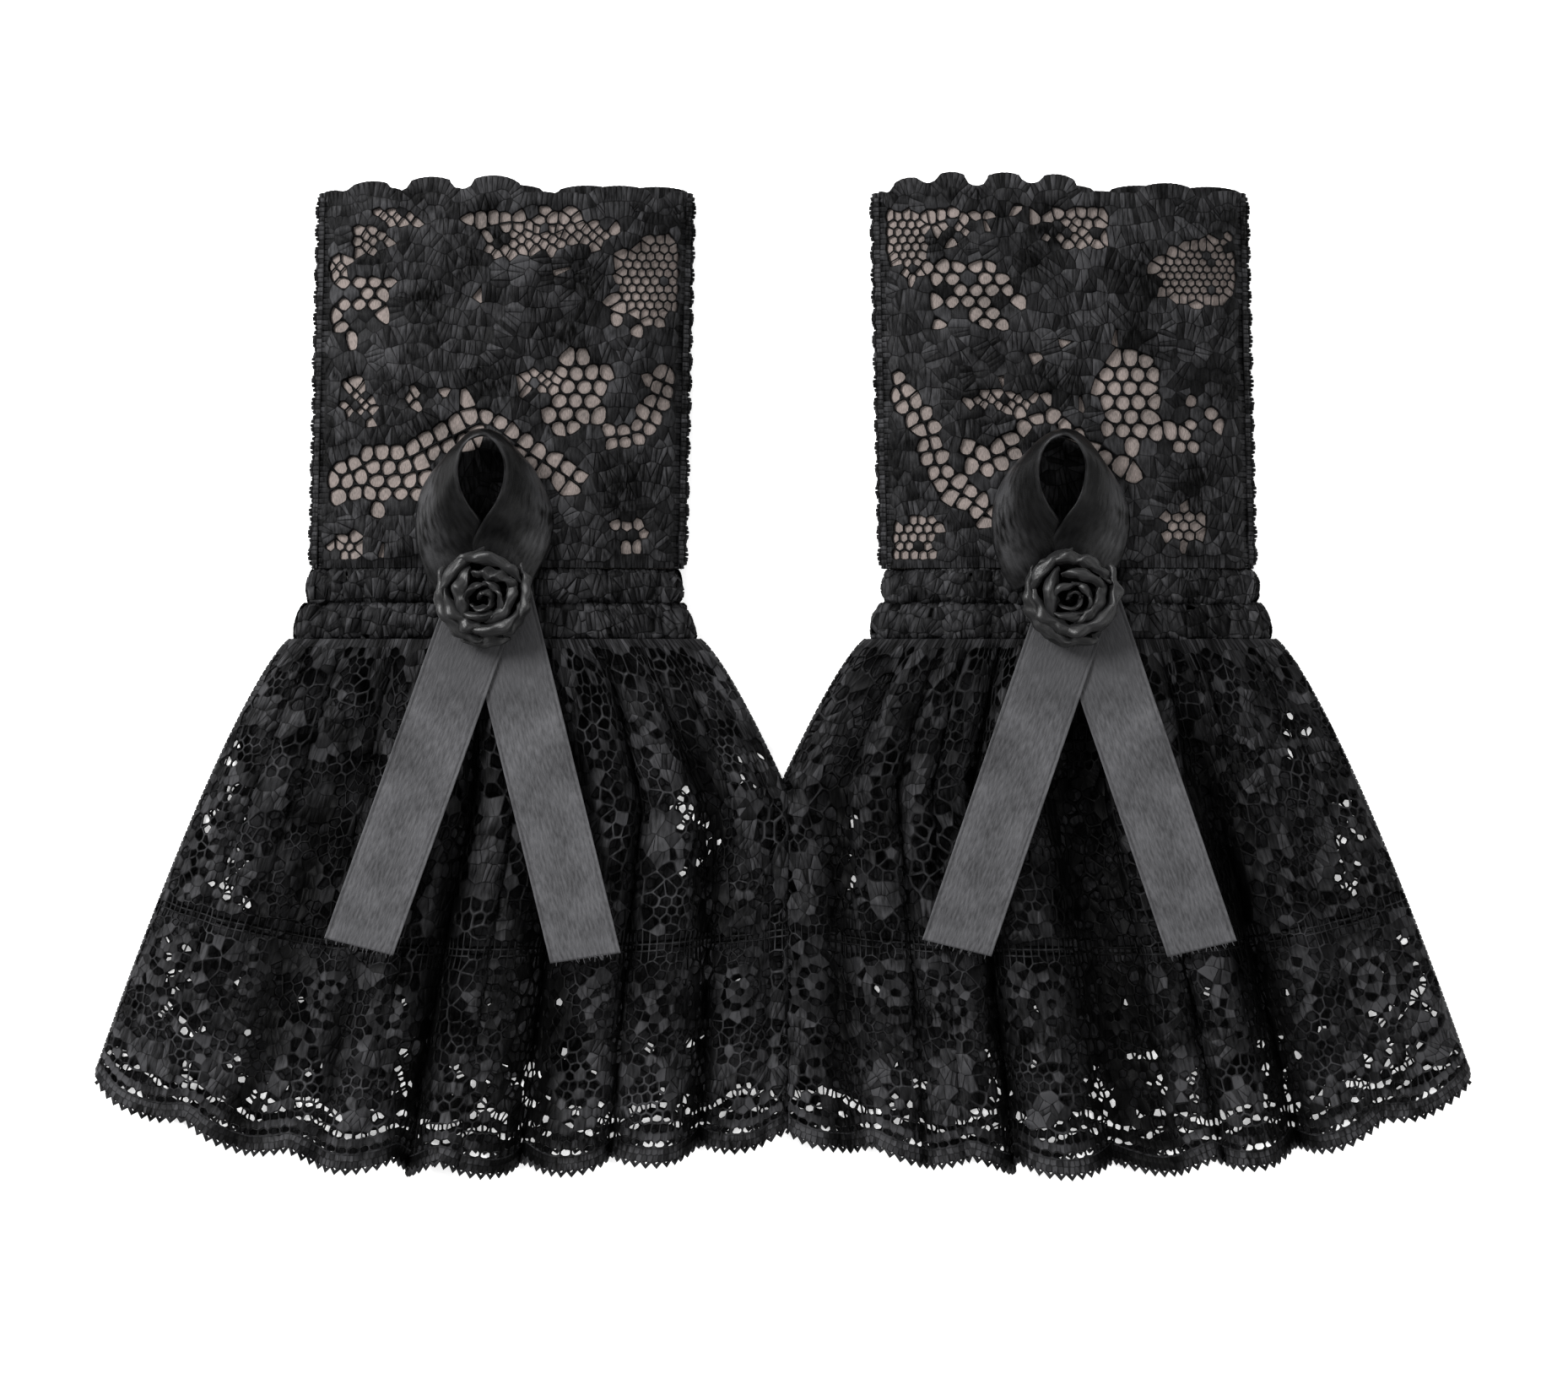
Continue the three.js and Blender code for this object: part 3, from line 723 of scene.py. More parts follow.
# where the net shows between the flowers, from the tube's own middle: (across, up, half width, half height,
# cell, how much wider than tall its cells are, how many of them are open)
netPatches = {
    "left": [
        (-21.6, 98.3, 5, 2.4, 1.2, 2.2, 0.7), (-2.4, 98.6, 6.5, 2.4, 1.9, 1.3, 0.95),
        (9.3, 97.4, 7.5, 3.6, 2.2, 1.2, 0.8), (3, 92, 9, 2.8, 1.15, 2.7, 0.75),
        (18, 93.4, 4.6, 2.6, 1.2, 2.3, 0.8), (-28.6, 91.5, 4, 2.8, 1.2, 2.4, 0.7),
        (-31, 78.6, 7.5, 6.6, 2.5, 1.3, 0.55), (-36.5, 87, 2.4, 2, 1.4, 1.5, 0.8),
        (31.4, 84.5, 7.6, 8, 1.85, 1, 0.99), (27, 73.6, 6, 2, 2.3, 1.2, 0.6),
        (16.4, 59.4, 6.4, 7.4, 3.2, 1, 0.99), (-26, 40.5, 8.5, 6, 3.2, 1, 0.95),
        (-33, 26.6, 4, 2, 1.7, 1.2, 0.9), (27.6, 29.8, 4.5, 3.2, 2.2, 1.1, 0.6),
        (-30.5, 57, 3, 4, 1.2, 1.8, 0.6), (8, 62, 4.5, 1.8, 1.15, 2.3, 0.6),
        (-16, 58.6, 9, 1.6, 1.1, 2.6, 0.6),
    ],
    "right": [
        (-33.7, 93.6, 5.4, 6.6, 1.75, 1.05, 0.98), (-27.5, 98.8, 4, 2.2, 1.8, 1.1, 0.9),
        (-17.3, 99.6, 3.6, 2.6, 1.6, 1.6, 0.9), (-5.5, 98.8, 5, 2.4, 1.7, 1.5, 0.95),
        (5, 97.2, 5.5, 2.4, 2, 1.1, 0.9), (-22.5, 93.8, 4, 2.2, 1.15, 2.4, 0.7),
        (1.5, 93.2, 8, 2, 1.15, 2.5, 0.7), (-32, 86.6, 3.2, 2.4, 1.15, 2.3, 0.75),
        (-19, 80.8, 9.6, 6.4, 2.6, 1.25, 0.62), (29.4, 85, 9, 5.6, 1.6, 1.05, 0.95),
        (35, 92, 1.6, 3, 1.5, 1, 0.6), (13.7, 59.2, 6, 9.6, 3.2, 1, 0.99), (22.5, 49.4, 7, 3, 3, 1, 0.9),
        (30, 57, 4.5, 7, 2.9, 1, 0.35), (-32.7, 28.4, 5, 4.8, 1.95, 1, 0.97),
        (25, 31.2, 4.6, 4.2, 2.1, 1.1, 0.6), (-12, 57.6, 8, 1.8, 1.1, 2.5, 0.65),
    ],
    "back": [
        (-20, 88, 9, 6, 3.0, 1, 0.97), (16, 93, 12, 3, 1.9, 1.2, 0.9), (22, 70, 7, 8, 3.1, 1, 0.97),
        (-28, 62, 7, 7, 2.2, 1, 0.95), (-4, 48, 9, 4, 3.2, 1, 0.97), (24, 36, 8, 5, 3.0, 1, 0.95),
        (-24, 34, 8, 5, 2.8, 1, 0.9), (2, 76, 8, 2.4, 1.15, 2.4, 0.7), (0, 28, 6, 3, 1.3, 2, 0.7),
    ],
}
# strings of large round cells, as (path, how far each string is from it, cell)
netStrings = {
    "left": [([(-33, 44), (-27.5, 47), (-21, 47), (-15.5, 49.6), (-9, 52.6), (-3.2, 55), (2.6, 51.6),
               (9, 47.2), (15, 43.6), (19, 40.8)], (0, -3.3), 3.3),
             ([(37.6, 64.5), (34.4, 56), (30.5, 50.2), (22.5, 48.6)], (0, -2.8), 2.8)],
    "right": [([(-23, 49), (-18, 46.8), (-14, 48.7), (-10.5, 50.6), (-7.2, 53.6), (-3.7, 55.2), (1.1, 51.1),
                (6.1, 47.2), (11.9, 43.5), (16, 41.6)], (0,), 3.3),
              ([(-22, 45), (-17, 43), (-13.2, 45.2), (-9.5, 47.7)], (0,), 3.2),
              ([(-38, 64), (-34.6, 58.5), (-30.5, 53.5), (-28.5, 46), (-25.5, 40.5), (-20.5, 36.8),
                (-15.5, 32)], (1.5, -1.5), 3.0)],
    "back": [([(-36, 52), (-18, 50), (0, 62), (18, 54), (36, 56)], (0, -3.2), 3.2)],
}
tubeFlowers = {
    "left": [(-5, 74, 6.5, 6), (-29, 62, 5, 5), (27, 67, 5, 5), (-16, 31, 4.5, 5), (22, 33, 4, 5)],
    "right": [(2, 76, 6.5, 6), (-25, 64, 5, 5), (30, 63, 5, 5), (-14, 31, 4, 5), (18, 32, 4.5, 5)],
    "back": [(-10, 76, 6, 6), (14, 58, 5, 5), (-18, 50, 5, 5), (12, 82, 5, 5), (8, 38, 5, 5)],
}


# the top edge's lobes, as (across, half width, height); between them the edge dips to the lowest line
topLobes = {
    "left": [
        (-36.5, 5, 103.2), (-28.4, 6.4, 104.9), (-15.6, 6.9, 105.7), (-2.4, 6.9, 105.9), (7, 4.8, 102.5),
        (14, 4.8, 102.3), (24.7, 7.2, 103.9), (38, 4, 103),
    ],
    "right": [
        (-37.8, 3.8, 102.9), (-32, 5.2, 105.8), (-23.3, 5.6, 106.8), (-12, 6.6, 106.6),
        (-1.3, 5.9, 106.2), (8, 4.8, 102.6), (14, 4.4, 102.3), (22.5, 6.8, 104.4), (36.2, 5.4, 103),
    ],
    "back": [
        (-32, 8.6, 104.5), (-17, 8.2, 104.8), (-1, 9, 105), (14, 7.8, 104.6), (28, 8, 104.6),
        (38, 4, 103.5),
    ],
}


def topLine(key, a):
    dip = tube["dip"]
    edge = np.full(np.shape(a), dip)
    for middle, wide, height in topLobes[key]:
        arch = np.sqrt(np.clip(1 - ((a - middle) / wide) ** 2, 0, 1))
        edge = np.maximum(edge, dip + (height - dip) * arch ** 0.9)
    return edge


def tubeLace(side, cuff, back):
    start = tube["backSeam"] if back else -tube["frontSeam"]
    surface, half = tubeSurface(side, start, 4 - start if back else -start, 0.5, 0.0 if back else 0.22)
    key = "back" if back else cuff
    random = np.random.default_rng({"left": 11, "right": 12}[cuff] + 20 * back)
    low, high = np.array([-half, tube["waist"]]), np.array([half, tube["top"] + 0.5])
    ragged = noiseField(31 + side + 5 * back, 9, 0.3)
    plan = newPlan(5.5, 0.3)

    def topEdge(a):
        return topLine(key, a)

    # net: strings first, then patches
    nets = []
    for path, offsets, cell in netStrings[key]:
        for offset in offsets:
            nets.append((evenly(besides(through(path, 90), offset), cell * 1.04), cell, 1.0))
    for a, b, halfA, halfB, cell, wider, share in netPatches[key]:
        lowest = ((a - halfA * 1.4) / wider, b - halfB * 1.4)
        highest = ((a + halfA * 1.4) / wider, b + halfB * 1.4)
        seeds = hexSeeds(lowest, highest, cell, random, 0.09) * np.array([wider, 1])
        nets.append((seeds[inBlob(seeds, (a, b, halfA * 1.08, halfB * 1.08), ragged)], cell, share))

    # edges: the top's lobes have two rows of long stitches, the sides and foot one
    across = np.linspace(half, -half, 400)
    top = np.column_stack([across, topEdge(across) - 0.1])
    rows = [edgeRow(plan, top, 1.7, 1.08, rise=0.45, lift=0.12, cluster=-2)]
    second = evenly(besides(top, 4.9), 1.12)
    second = second[apartFrom(second, np.concatenate([net[0] for net in nets]), 1.5)]
    sow(plan, second, rise=0.42, lift=0.2, cluster=-3)
    rows.append(second)
    rows += sideRows(plan, half, np.linspace(tube["waist"], tube["dip"] + 0.5, 60), 0.6, 1.15, rise=0.3)
    rows.append(edgeRow(plan, level(np.linspace(-half, half, 60), tube["waist"]), 0.6, 1.2, rise=0.2))
    edges = np.concatenate(rows)

    placed = edges
    sown = []
    for seeds, cell, share in nets:
        inside = (np.abs(seeds[:, 0]) < half - 1.2) & (seeds[:, 1] > tube["waist"] + 1) & (
            seeds[:, 1] < np.minimum(topEdge(seeds[:, 0]) - 3.9, tube["liningTop"] - 0.7))
        seeds = seeds[inside]
        seeds = seeds[apartFrom(seeds, placed, cell * 0.72)]
        isOpen = random.random(len(seeds)) < share
        if not back:  # the lace is closed behind the loop's mouth
            isOpen &= awayFrom(surface(*seeds.T), side * ribbon["bow"] + loop["shift"][cuff],
                               ribbon["bowHeight"] + loop["mouthMiddle"], *loop["mouthHalf"]) > 1
        sow(plan, seeds, isOpen=isOpen, thread=0.52 if cell > 2.4 else 0.42, rise=0.25, lift=-0.05,
            cluster=-4)
        placed = np.concatenate([placed, seeds])
        sown.append((seeds, max(1.5, 0.8 * cell)))

    # flowers and leaves in satin stitch
    hearts = flowerHearts(low, high, 8.2, tubeFlowers[key], random)
    turns = random.normal(0, 0.22, len(hearts)) + math.pi / 2 * (random.random(len(hearts)) < 0.16)
    stitches, cluster = satinMotifs(hearts, low, high, tube["stitchWidth"], tube["stitchLength"], random,
                                    turns)
    keep = (np.abs(stitches[:, 0]) < half - 1.3) & (stitches[:, 1] > tube["waist"] + 1.4) & (
        stitches[:, 1] < topEdge(stitches[:, 0]) - 3.6)
    stitches, cluster = stitches[keep], cluster[keep]
    keep = apartFrom(stitches, edges, 1.25)
    for seeds, room in sown:
        if len(seeds):
            keep &= apartFrom(stitches, seeds, room)
    stitches, cluster = stitches[keep], cluster[keep]
    fromHeart = np.linalg.norm(stitches - hearts[cluster], axis=1)
    puff = np.clip(1 - fromHeart / 6, 0, 1)
    pinholes = random.random(len(stitches)) < 0.008
    stand = random.uniform(-0.1, 0.12, len(hearts))[cluster]
    sow(plan, stitches, isOpen=pinholes, thread=0.3, rise=random.uniform(0.3, 0.6, len(stitches)),
        lift=stand + 0.22 * puff, cluster=cluster)

    flat, height, faces, crown = laceSheet(finished(plan))
    if back:
        height = np.minimum(height, 0.45)
    piece = meshObject(cuff + "_lace_" + layerName(back), laidOn(surface, flat, height), faces, laceThread,
                       flat, crown)
    thicken(piece, tube["thread"])
    declareSheet(piece,
                 cuff + "_cuff",
                 cuff + "_tube_lace_" + layerName(back))


def gridFaces(columns, rows):
    return [(r * columns + c, r * columns + c + 1, (r + 1) * columns + c + 1, (r + 1) * columns + c)
            for r in range(rows - 1) for c in range(columns - 1)]


def gridSheet(surface, lows, highs, counts):
    # an even grid of cloth laid on a surface
    a, b = np.meshgrid(np.linspace(lows[0], highs[0], counts[0]), np.linspace(lows[1], highs[1], counts[1]))
    flat = np.column_stack([a.ravel(), b.ravel()])
    return surface(*flat.T), gridFaces(*counts), flat


def tubeLining(side, cuff, back):
    start = (tube["backSeam"] if back else -tube["frontSeam"]) + 0.05
    surface, half = tubeSurface(side, start, 4 - start if back else -start, 1.15, 0.1)
    points, faces, flat = gridSheet(surface, (-half, tube["waist"]), (half, tube["liningTop"]), (70, 66))
    piece = meshObject(cuff + "_lining_" + layerName(back), points, faces, liningCloth, flat)
    thicken(piece, tube["liningThickness"])
    declareSheet(piece, cuff + "_cuff",
                 cuff + "_tube_lining_" + layerName(back))


def tubeSeam(side, cuff, edge):
    where = "outer" if edge == side else "inner"
    low, high = tube["seam"]
    start, end = (low, high) if edge > 0 else (-high, -low)
    surface, half = tubeSurface(side, start, end, 0.42)
    random = np.random.default_rng(50 + side + 2 * edge)
    foot, top = tube["waist"], tube["top"] - 3.3
    plan = newPlan(5, 0.0)
    sideRows(plan, half, np.linspace(foot, top, 80), 0.7, 1.0, rise=0.3, lift=0.1)
    for end, order in ((foot, 1), (top, -1)):
        edgeRow(plan, level(np.linspace(-half, half, 9)[::order], end), 0.5, 1.2)
    middle = np.arange(foot + 1.2, top - 1, 0.95)
    seeds = np.column_stack([random.uniform(-0.25, 0.25, len(middle)), middle])
    sow(plan, seeds, rise=0.42, lift=0.3 + 0.3 * np.abs(np.sin(middle * math.pi / tube["seamScallop"])))
    flat, height, faces, crown = laceSheet(finished(plan))
    scallop = np.abs(np.sin(flat[:, 1] * math.pi / tube["seamScallop"]))
    height = height + 0.45 * scallop * np.clip(1 - np.abs(flat[:, 0]) / half, 0, 1)
    piece = meshObject(cuff + "_seam_" + where, laidOn(surface, flat, height), faces, laceThread, flat, crown)
    thicken(piece, tube["seamThickness"])
    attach(piece, cuff + "_cuff")
    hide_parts(cuff + "_tube_seam_" + where)
    report(piece)


# ---- the elastic casings at the waist ----
casing = {
    "middle": 61.6, "height": 13.5, "foldRadius": 3.6,
    "upper": {"halfWidth": 40.4, "top": 21.85, "bottom": 14.95, "flare": 0.012},
    "lower": {"halfWidth": 42, "top": 14.65, "bottom": 7.15, "flare": 0.05},
    "puff": 2.3, "wrap": 1.5,   # how far the edges fall back, and how much cloth wraps round them
    "gather": 1.7, "stitchWidth": 0.95, "stitchLength": 3.4, "thread": 0.34,
    "fullness": 1.3,            # how much wider the front's cloth is cut than the waist it is gathered to
}


def casingSurface(side, band, back):
    hoop = (band["halfWidth"], casing["height"], casing["foldRadius"])
    place, length = hoopArc(hoop, 1.004 if back else -0.988, 2.996 if back else 0.988, 0)
    halfBand = (band["top"] - band["bottom"]) / 2
    middle = (band["top"] + band["bottom"]) / 2
    halfCloth = halfBand + casing["wrap"]
    slow, quick = noiseField(71 + side + 3 * back, 5.5, 0.5), noiseField(75 + side, 2.6, 0.5)

    def surface(a, b):
        share = np.clip(b / halfCloth, -1, 1)
        across = np.interp(a, length, place)
        gather = np.abs(slow(a, b * 0.25) + quick(a, b * 0.2) * 0.5) * casing["gather"]
        inset = casing["puff"] * (1 - np.cos(share * math.pi / 2)) + gather * (1.2 - np.abs(share) * 0.5)
        if back:
            inset = np.maximum(inset * 0.55, 0.15)
        x, z = hoopPoint(hoop, across, inset)
        x = x * (1 + band["flare"] * (1 - np.sin(share * math.pi / 2)) / 2)
        loose = 0.4 * np.sin(a * 0.9 + 1.3 * np.sin(a * 0.31)) * np.abs(share) * (0.4 if back else 1)
        y = middle + halfBand * np.sin(share * math.pi / 2) - loose * (share < 0) + loose * 0.4 * (share > 0)
        y = y + 0.45 * share ** 3
        y = np.clip(y, band["bottom"] - 0.35 - 0.5 * (band["bottom"] < 10), band["top"] + 0.35)
        return np.column_stack([side * casing["middle"] + x, y, z])

    return surface, length[-1], halfCloth


def waistCasing(side, cuff, which, back):
    band = casing[which]
    surface, half, halfCloth = casingSurface(side, band, back)
    random = np.random.default_rng(90 + side + 4 * back + 8 * (which == "upper"))
    plan = newPlan(5, 0.12)
    sides = np.linspace(-half, half, 300)
    rows = [edgeRow(plan, level(sides, -halfCloth), 0.7, 1.2, rise=0.25),
            edgeRow(plan, level(sides[::-1], halfCloth), 0.7, 1.2, rise=0.25),
            *sideRows(plan, half, np.linspace(-halfCloth, halfCloth, 16), 0.5, 1.3, rise=0.2)]
    edges = np.concatenate(rows)
    low, high = np.array([-half, -halfCloth]), np.array([half, halfCloth])
    hearts = hexSeeds(low, high, 6.5, random, 0.3)
    turns = random.normal(0, 0.22, len(hearts))
    stitches, cluster = satinMotifs(hearts, low, high, casing["stitchWidth"], casing["stitchLength"], random,
                                    turns)
    keep = (np.abs(stitches[:, 0]) < half - 0.9) & (np.abs(stitches[:, 1]) < halfCloth - 1.1)
    keep &= apartFrom(stitches, edges, 0.8)
    stitches, cluster = stitches[keep], cluster[keep]
    sow(plan, stitches, isOpen=random.random(len(stitches)) < 0.02, thread=0.4,
        rise=random.uniform(0.25, 0.6, len(stitches)), lift=random.uniform(-0.06, 0.2, len(hearts))[cluster],
        cluster=cluster)
    flat, height, faces, crown = laceSheet(finished(plan))
    if back:
        height = np.clip(height, -0.1, 0.1)
    name = cuff + "_" + which + "_casing_" + layerName(back)
    piece = meshObject(cuff + "_" + which + "Casing" + layerName(back).capitalize(),
                       laidOn(surface, flat, height), faces, laceThread, flat, crown)
    thicken(piece, casing["thread"])
    declareSheet(piece,
                 cuff + "_cuff", name)


# ---- the ruffles ----
ruffle = {
    "middle": 61.6, "top": 7.3, "cut": 113,     # cut is the cloth's length from waist to hem
    "waistHalf": 43.8, "outerFlare": 42.7, "innerFlare": 47.2, "flareCurve": 0.78, "room": 61.57,
    "lap": 1.6,      # how far the left ruffle lies over the right one
    "waistHeight": 13.0, "crestRise": 8, "sideHeight": 2.9, "hemSideHeight": 2.3,
    "foldDepth": 12.5, "foldLean": 4.2, "gatherDepth": 4.8, "gathers": 11,
    "hemScallops": 8, "scallopDepth": 3.0, "picotPitch": 2.3, "picotHeight": 0.95,
    "thread": 0.34,
    "cells": (2.15, 2.75, 3.6),                       # three sizes of net
    "folds": {   # each deep fold's place from outer to inner edge, half width, and share of the full depth
        "left": [
            (0.21, 0.035, 0.5), (0.33, 0.02, 0.3), (0.455, 0.03, 1), (0.615, 0.05, 0.9),
            (0.74, 0.018, 0.35), (0.87, 0.025, 1), (0.965, 0.02, 0.5),
        ],
        "right": [
            (0.13, 0.02, 0.3), (0.255, 0.03, 1), (0.37, 0.018, 0.3), (0.49, 0.06, 0.9), (0.67, 0.025, 1),
            (0.79, 0.018, 0.35), (0.915, 0.03, 0.8),
        ],
    },
    # where both layers are thin enough to see through, as (x, y, half width, half height)
    "thin": {
        "left": [
            (-119, -34, 5, 20), (-19, -35, 5, 11), (-8, -21, 3.5, 6), (-130, -62, 4, 14),
            (-82, -88, 3.5, 6), (-57, -88, 8, 6), (-40, -94, 5, 3), (-112, -92, 8, 4), (-20, -92, 5, 4),
        ],
        "right": [
            (15.5, -39, 3, 7), (122, -40, 3, 18), (134, -72, 5, 14), (110, -12, 2.5, 8), (75, -88, 9, 7),
            (28, -92, 5, 4), (48, -90, 4, 5), (104, -90, 5, 5), (122, -86, 6, 4),
        ],
    },
}


def ruffleEdges(drop, lapped=0):
    spread = drop ** ruffle["flareCurve"]
    outer = ruffle["waistHalf"] + ruffle["outerFlare"] * spread
    inner = -np.minimum(ruffle["waistHalf"] + ruffle["innerFlare"] * spread, ruffle["room"] + lapped)
    return outer, inner


def hemHeight(across):
    outer = 18 * np.clip((0.55 - across) / 0.55, 0, 1) ** 2.5
    inner = 7 * np.clip((across - 0.55) / 0.45, 0, 1) ** 2
    return -106 + outer + inner


def ruffleShape(side, cuff, back):
    def place(across, drop):
        lapped = ruffle["lap"] if side < 0 and not back else 0
        outer, inner = ruffleEdges(drop, lapped)
        x = side * (ruffle["middle"] + outer + (inner - outer) * across)
        y = ruffle["top"] + (hemHeight(across) - ruffle["top"]) * drop
        middle = np.sqrt(np.clip(1 - (2 * across - 1) ** 2, 0, 1))
        if back:
            wave = 0.5 - 0.5 * np.cos(across * 14 * math.pi)
            wave = 2.0 * wave * middle ** 2 * smoothStep(drop, 0, 0.6)
            return np.column_stack([x, y, 0.5 + 0.4 * (1 - smoothStep(drop, 0, 0.1)) + wave])
        sideZ = ruffle["sideHeight"] + (ruffle["hemSideHeight"] - ruffle["sideHeight"]) * drop
        middleZ = ruffle["waistHeight"] + ruffle["crestRise"] * drop ** 1.5
        crest = sideZ + (middleZ - sideZ) * middle
        dip, tuck = 0, 0
        for at, wide, share in ruffle["folds"][cuff]:
            off = (across - at) / wide
            dip = dip + share * np.exp(-off ** 2)
            tuck = tuck + share * off * np.exp(-off ** 2)  # the crests lean over the valley between them
        lean = ruffle["foldLean"] * tuck * smoothStep(drop, 0.02, 0.5) * middle
        phase = across * ruffle["gathers"] + 0.32 * np.sin(across * 15.1 + side)
        lean = lean + 1.1 * np.sin(2 * math.pi * phase) * smoothStep(drop, 0, 0.1) * (
            1 - 0.5 * smoothStep(drop, 0.2, 0.8)) * middle
        x = x + side * lean
        fold = ruffle["foldDepth"] * np.minimum(dip, 1) * middle * smoothStep(drop, -0.05, 0.5)
        pleat = 1 - np.abs(np.sin(math.pi * phase)) ** 0.75
        pleat = pleat * ruffle["gatherDepth"] * smoothStep(drop, 0, 0.08) * (
            1 - 0.52 * smoothStep(drop, 0.2, 0.85))
        small = 0.25 * np.sin(across * 61 + 3 * drop) * smoothStep(drop, 0.1, 0.5)
        z = np.maximum(crest - fold - pleat * middle - 0.25 + small * middle, np.minimum(crest, 3.6))
        if lapped:
            z = z + 1.3 * smoothStep(across, 0.93, 0.985)
        return np.column_stack([x, y, z])

    across = np.linspace(0, 1, 500)
    laid = place(across, np.full(500, 0.9))
    length = pathLength(laid)
    width = length[-1]
    half = width / 2
    # seen from outside the cloth, a runs left to right
    forwards = (side < 0) != back

    def surface(a, b):
        along = np.clip(a + half, 0, width)
        share = np.interp(along if forwards else width - along, length, across)
        return place(share, np.clip(-b / ruffle["cut"], 0, 1.05))

    return surface, half


def hemLine(a, half, back):
    share = (a + half) / (2 * half)
    wave = np.abs(np.sin((share * ruffle["hemScallops"] + 0.5 * back) * math.pi))
    return -ruffle["cut"] + ruffle["scallopDepth"] * (1 - wave) + 1.6 * back


def ruffleLace(side, cuff, back):
    surface, half = ruffleShape(side, cuff, back)
    random = np.random.default_rng({"left": 61, "right": 62}[cuff] + 30 * back)
    plan = newPlan(6.5, 0.3, 0.9, 0.24)
    blotch = noiseField(81 + side + 7 * back, 13, 1.0)
    sizes = noiseField(83 + side + 7 * back, 17, 1.0)
    ragged = noiseField(85 + side, 5, 0.6)

    # the hem: a solid border, ovals, a cord, and smaller ovals, all following the scallops
    across = np.linspace(-half, half, 900)
    hem = np.column_stack([across, hemLine(across, half, back)])
    rows = [edgeRow(plan, hem, 0.8, 1.15, rise=0.25, lift=0.1, cluster=-2)]
    for inset, spacing, isOpen, thread in ((2.2, 1.25, False, 0.4), (3.8, 2.5, True, 0.42),
                                           (5.4, 1.6, False, 0.4), (6.8, 1.9, True, 0.4)):
        row = evenly(besides(hem, inset), spacing)
        row = row[np.abs(row[:, 0]) < half - 0.7]
        row = row[apartFrom(row, np.concatenate(rows), 0.95)]
        sow(plan, row, isOpen=isOpen, thread=thread, rise=0.22, lift=0.04, cluster=-2 - inset)
        rows.append(row)
    rows += sideRows(plan, half, np.linspace(0, -ruffle["cut"] + 4, 80)[::-1], 0.6, 1.3, rise=0.25)
    rows.append(edgeRow(plan, level(np.linspace(half, -half, 200), 0.0), 0.8, 1.6, rise=0.2))
    edges = np.concatenate(rows)

    # ring motifs in a band above the hem
    rings = []
    for centre in np.arange(-half + 11, half - 6, 19.5):
        shift, height = random.uniform(-2.5, 2.5), random.uniform(-81, -76.5)
        grow, squat = random.uniform(0.75, 1.1), random.uniform(0.8, 1.1)
        for radius, count, isOpen in ((0, 1, True), (2.3, 6, False), (4.2, 9, True), (6.4, 18, False),
                                      (8.3, 14, True)):
            uneven = random.uniform(-0.25, 0.25, count)
            turn = 2 * math.pi * (np.arange(count) + 0.5 * (count % 2) + uneven) / count
            away = radius * grow * random.uniform(0.92, 1.08, count)
            ring = np.column_stack([centre + shift + away * np.cos(turn),
                                    height + away * np.sin(turn) * squat])
            ring = ring[np.abs(ring[:, 0]) < half - 1.4]
            if len(ring):
                sow(plan, ring, isOpen=isOpen and not (back and radius > 1), thread=0.5, rise=0.3, lift=0.12,
                    cluster=-20 - radius)
                rings.append(ring)
    # three rows of fine ladder above the rings
    for height in (-65.2, -66.6, -68.0):
        row = level(np.arange(-half + 1.5, half - 1.5, 1.7), height)
        row[:, 0] += 0.85 * (int(height * 10) % 2)
        row = row[ragged(row[:, 0] * 0.5, row[:, 1]) > -0.35]
        sow(plan, row, isOpen=not back, thread=0.45, rise=0.12, cluster=-30)
        rings.append(row)
    placed = np.concatenate([edges, *rings])

    # net of three sizes, with stitched blotches between
    low, high = np.array([-half, -ruffle["cut"]]), np.array([half, 0])
    hearts = hexSeeds(low, high, 8.5, random, 0.3)
    turns = random.normal(0, 0.45, len(hearts))
    stitches, cluster = satinMotifs(hearts, low, high, 0.95, 3.4, random, turns)

    def region(seeds):
        # 0 is stitched, 1 to 3 is net of that size
        a, b = seeds[:, 0], seeds[:, 1]
        size = 1 + (sizes(a, b) > -0.35) + (sizes(a, b) > 0.45)
        solid = blotch(a, b) + 0.25 * ragged(a, b) > 0.55
        net = (b < -87) & (b > -107)
        size = np.where(net, 1 + (sizes(a, b) > 0.5), size)
        solid = np.where(net, blotch(a, b) > 0.45, solid)
        place = surface(a, b)
        for x, y, halfX, halfY in ruffle["thin"][cuff]:
            thin = awayFrom(place, x, y, halfX, halfY) < 1 + ragged(a, b)
            size = np.where(thin, 1, size)
            solid = solid & ~(thin & (ragged(a * 2, b * 2) < 0.35))
        return np.where(solid, 0, size)

    def inside(seeds):
        return (np.abs(seeds[:, 0]) < half - 1.5) & (seeds[:, 1] < -1.8) & (
            seeds[:, 1] > hemLine(seeds[:, 0], half, back) + 8.2)

    def seeThrough(seeds):
        place = surface(*seeds.T)
        thin = seeds[:, 1] < -103
        for x, y, halfX, halfY in ruffle["thin"][cuff]:
            thin |= awayFrom(place, x, y, halfX, halfY) < 1.3
        return thin

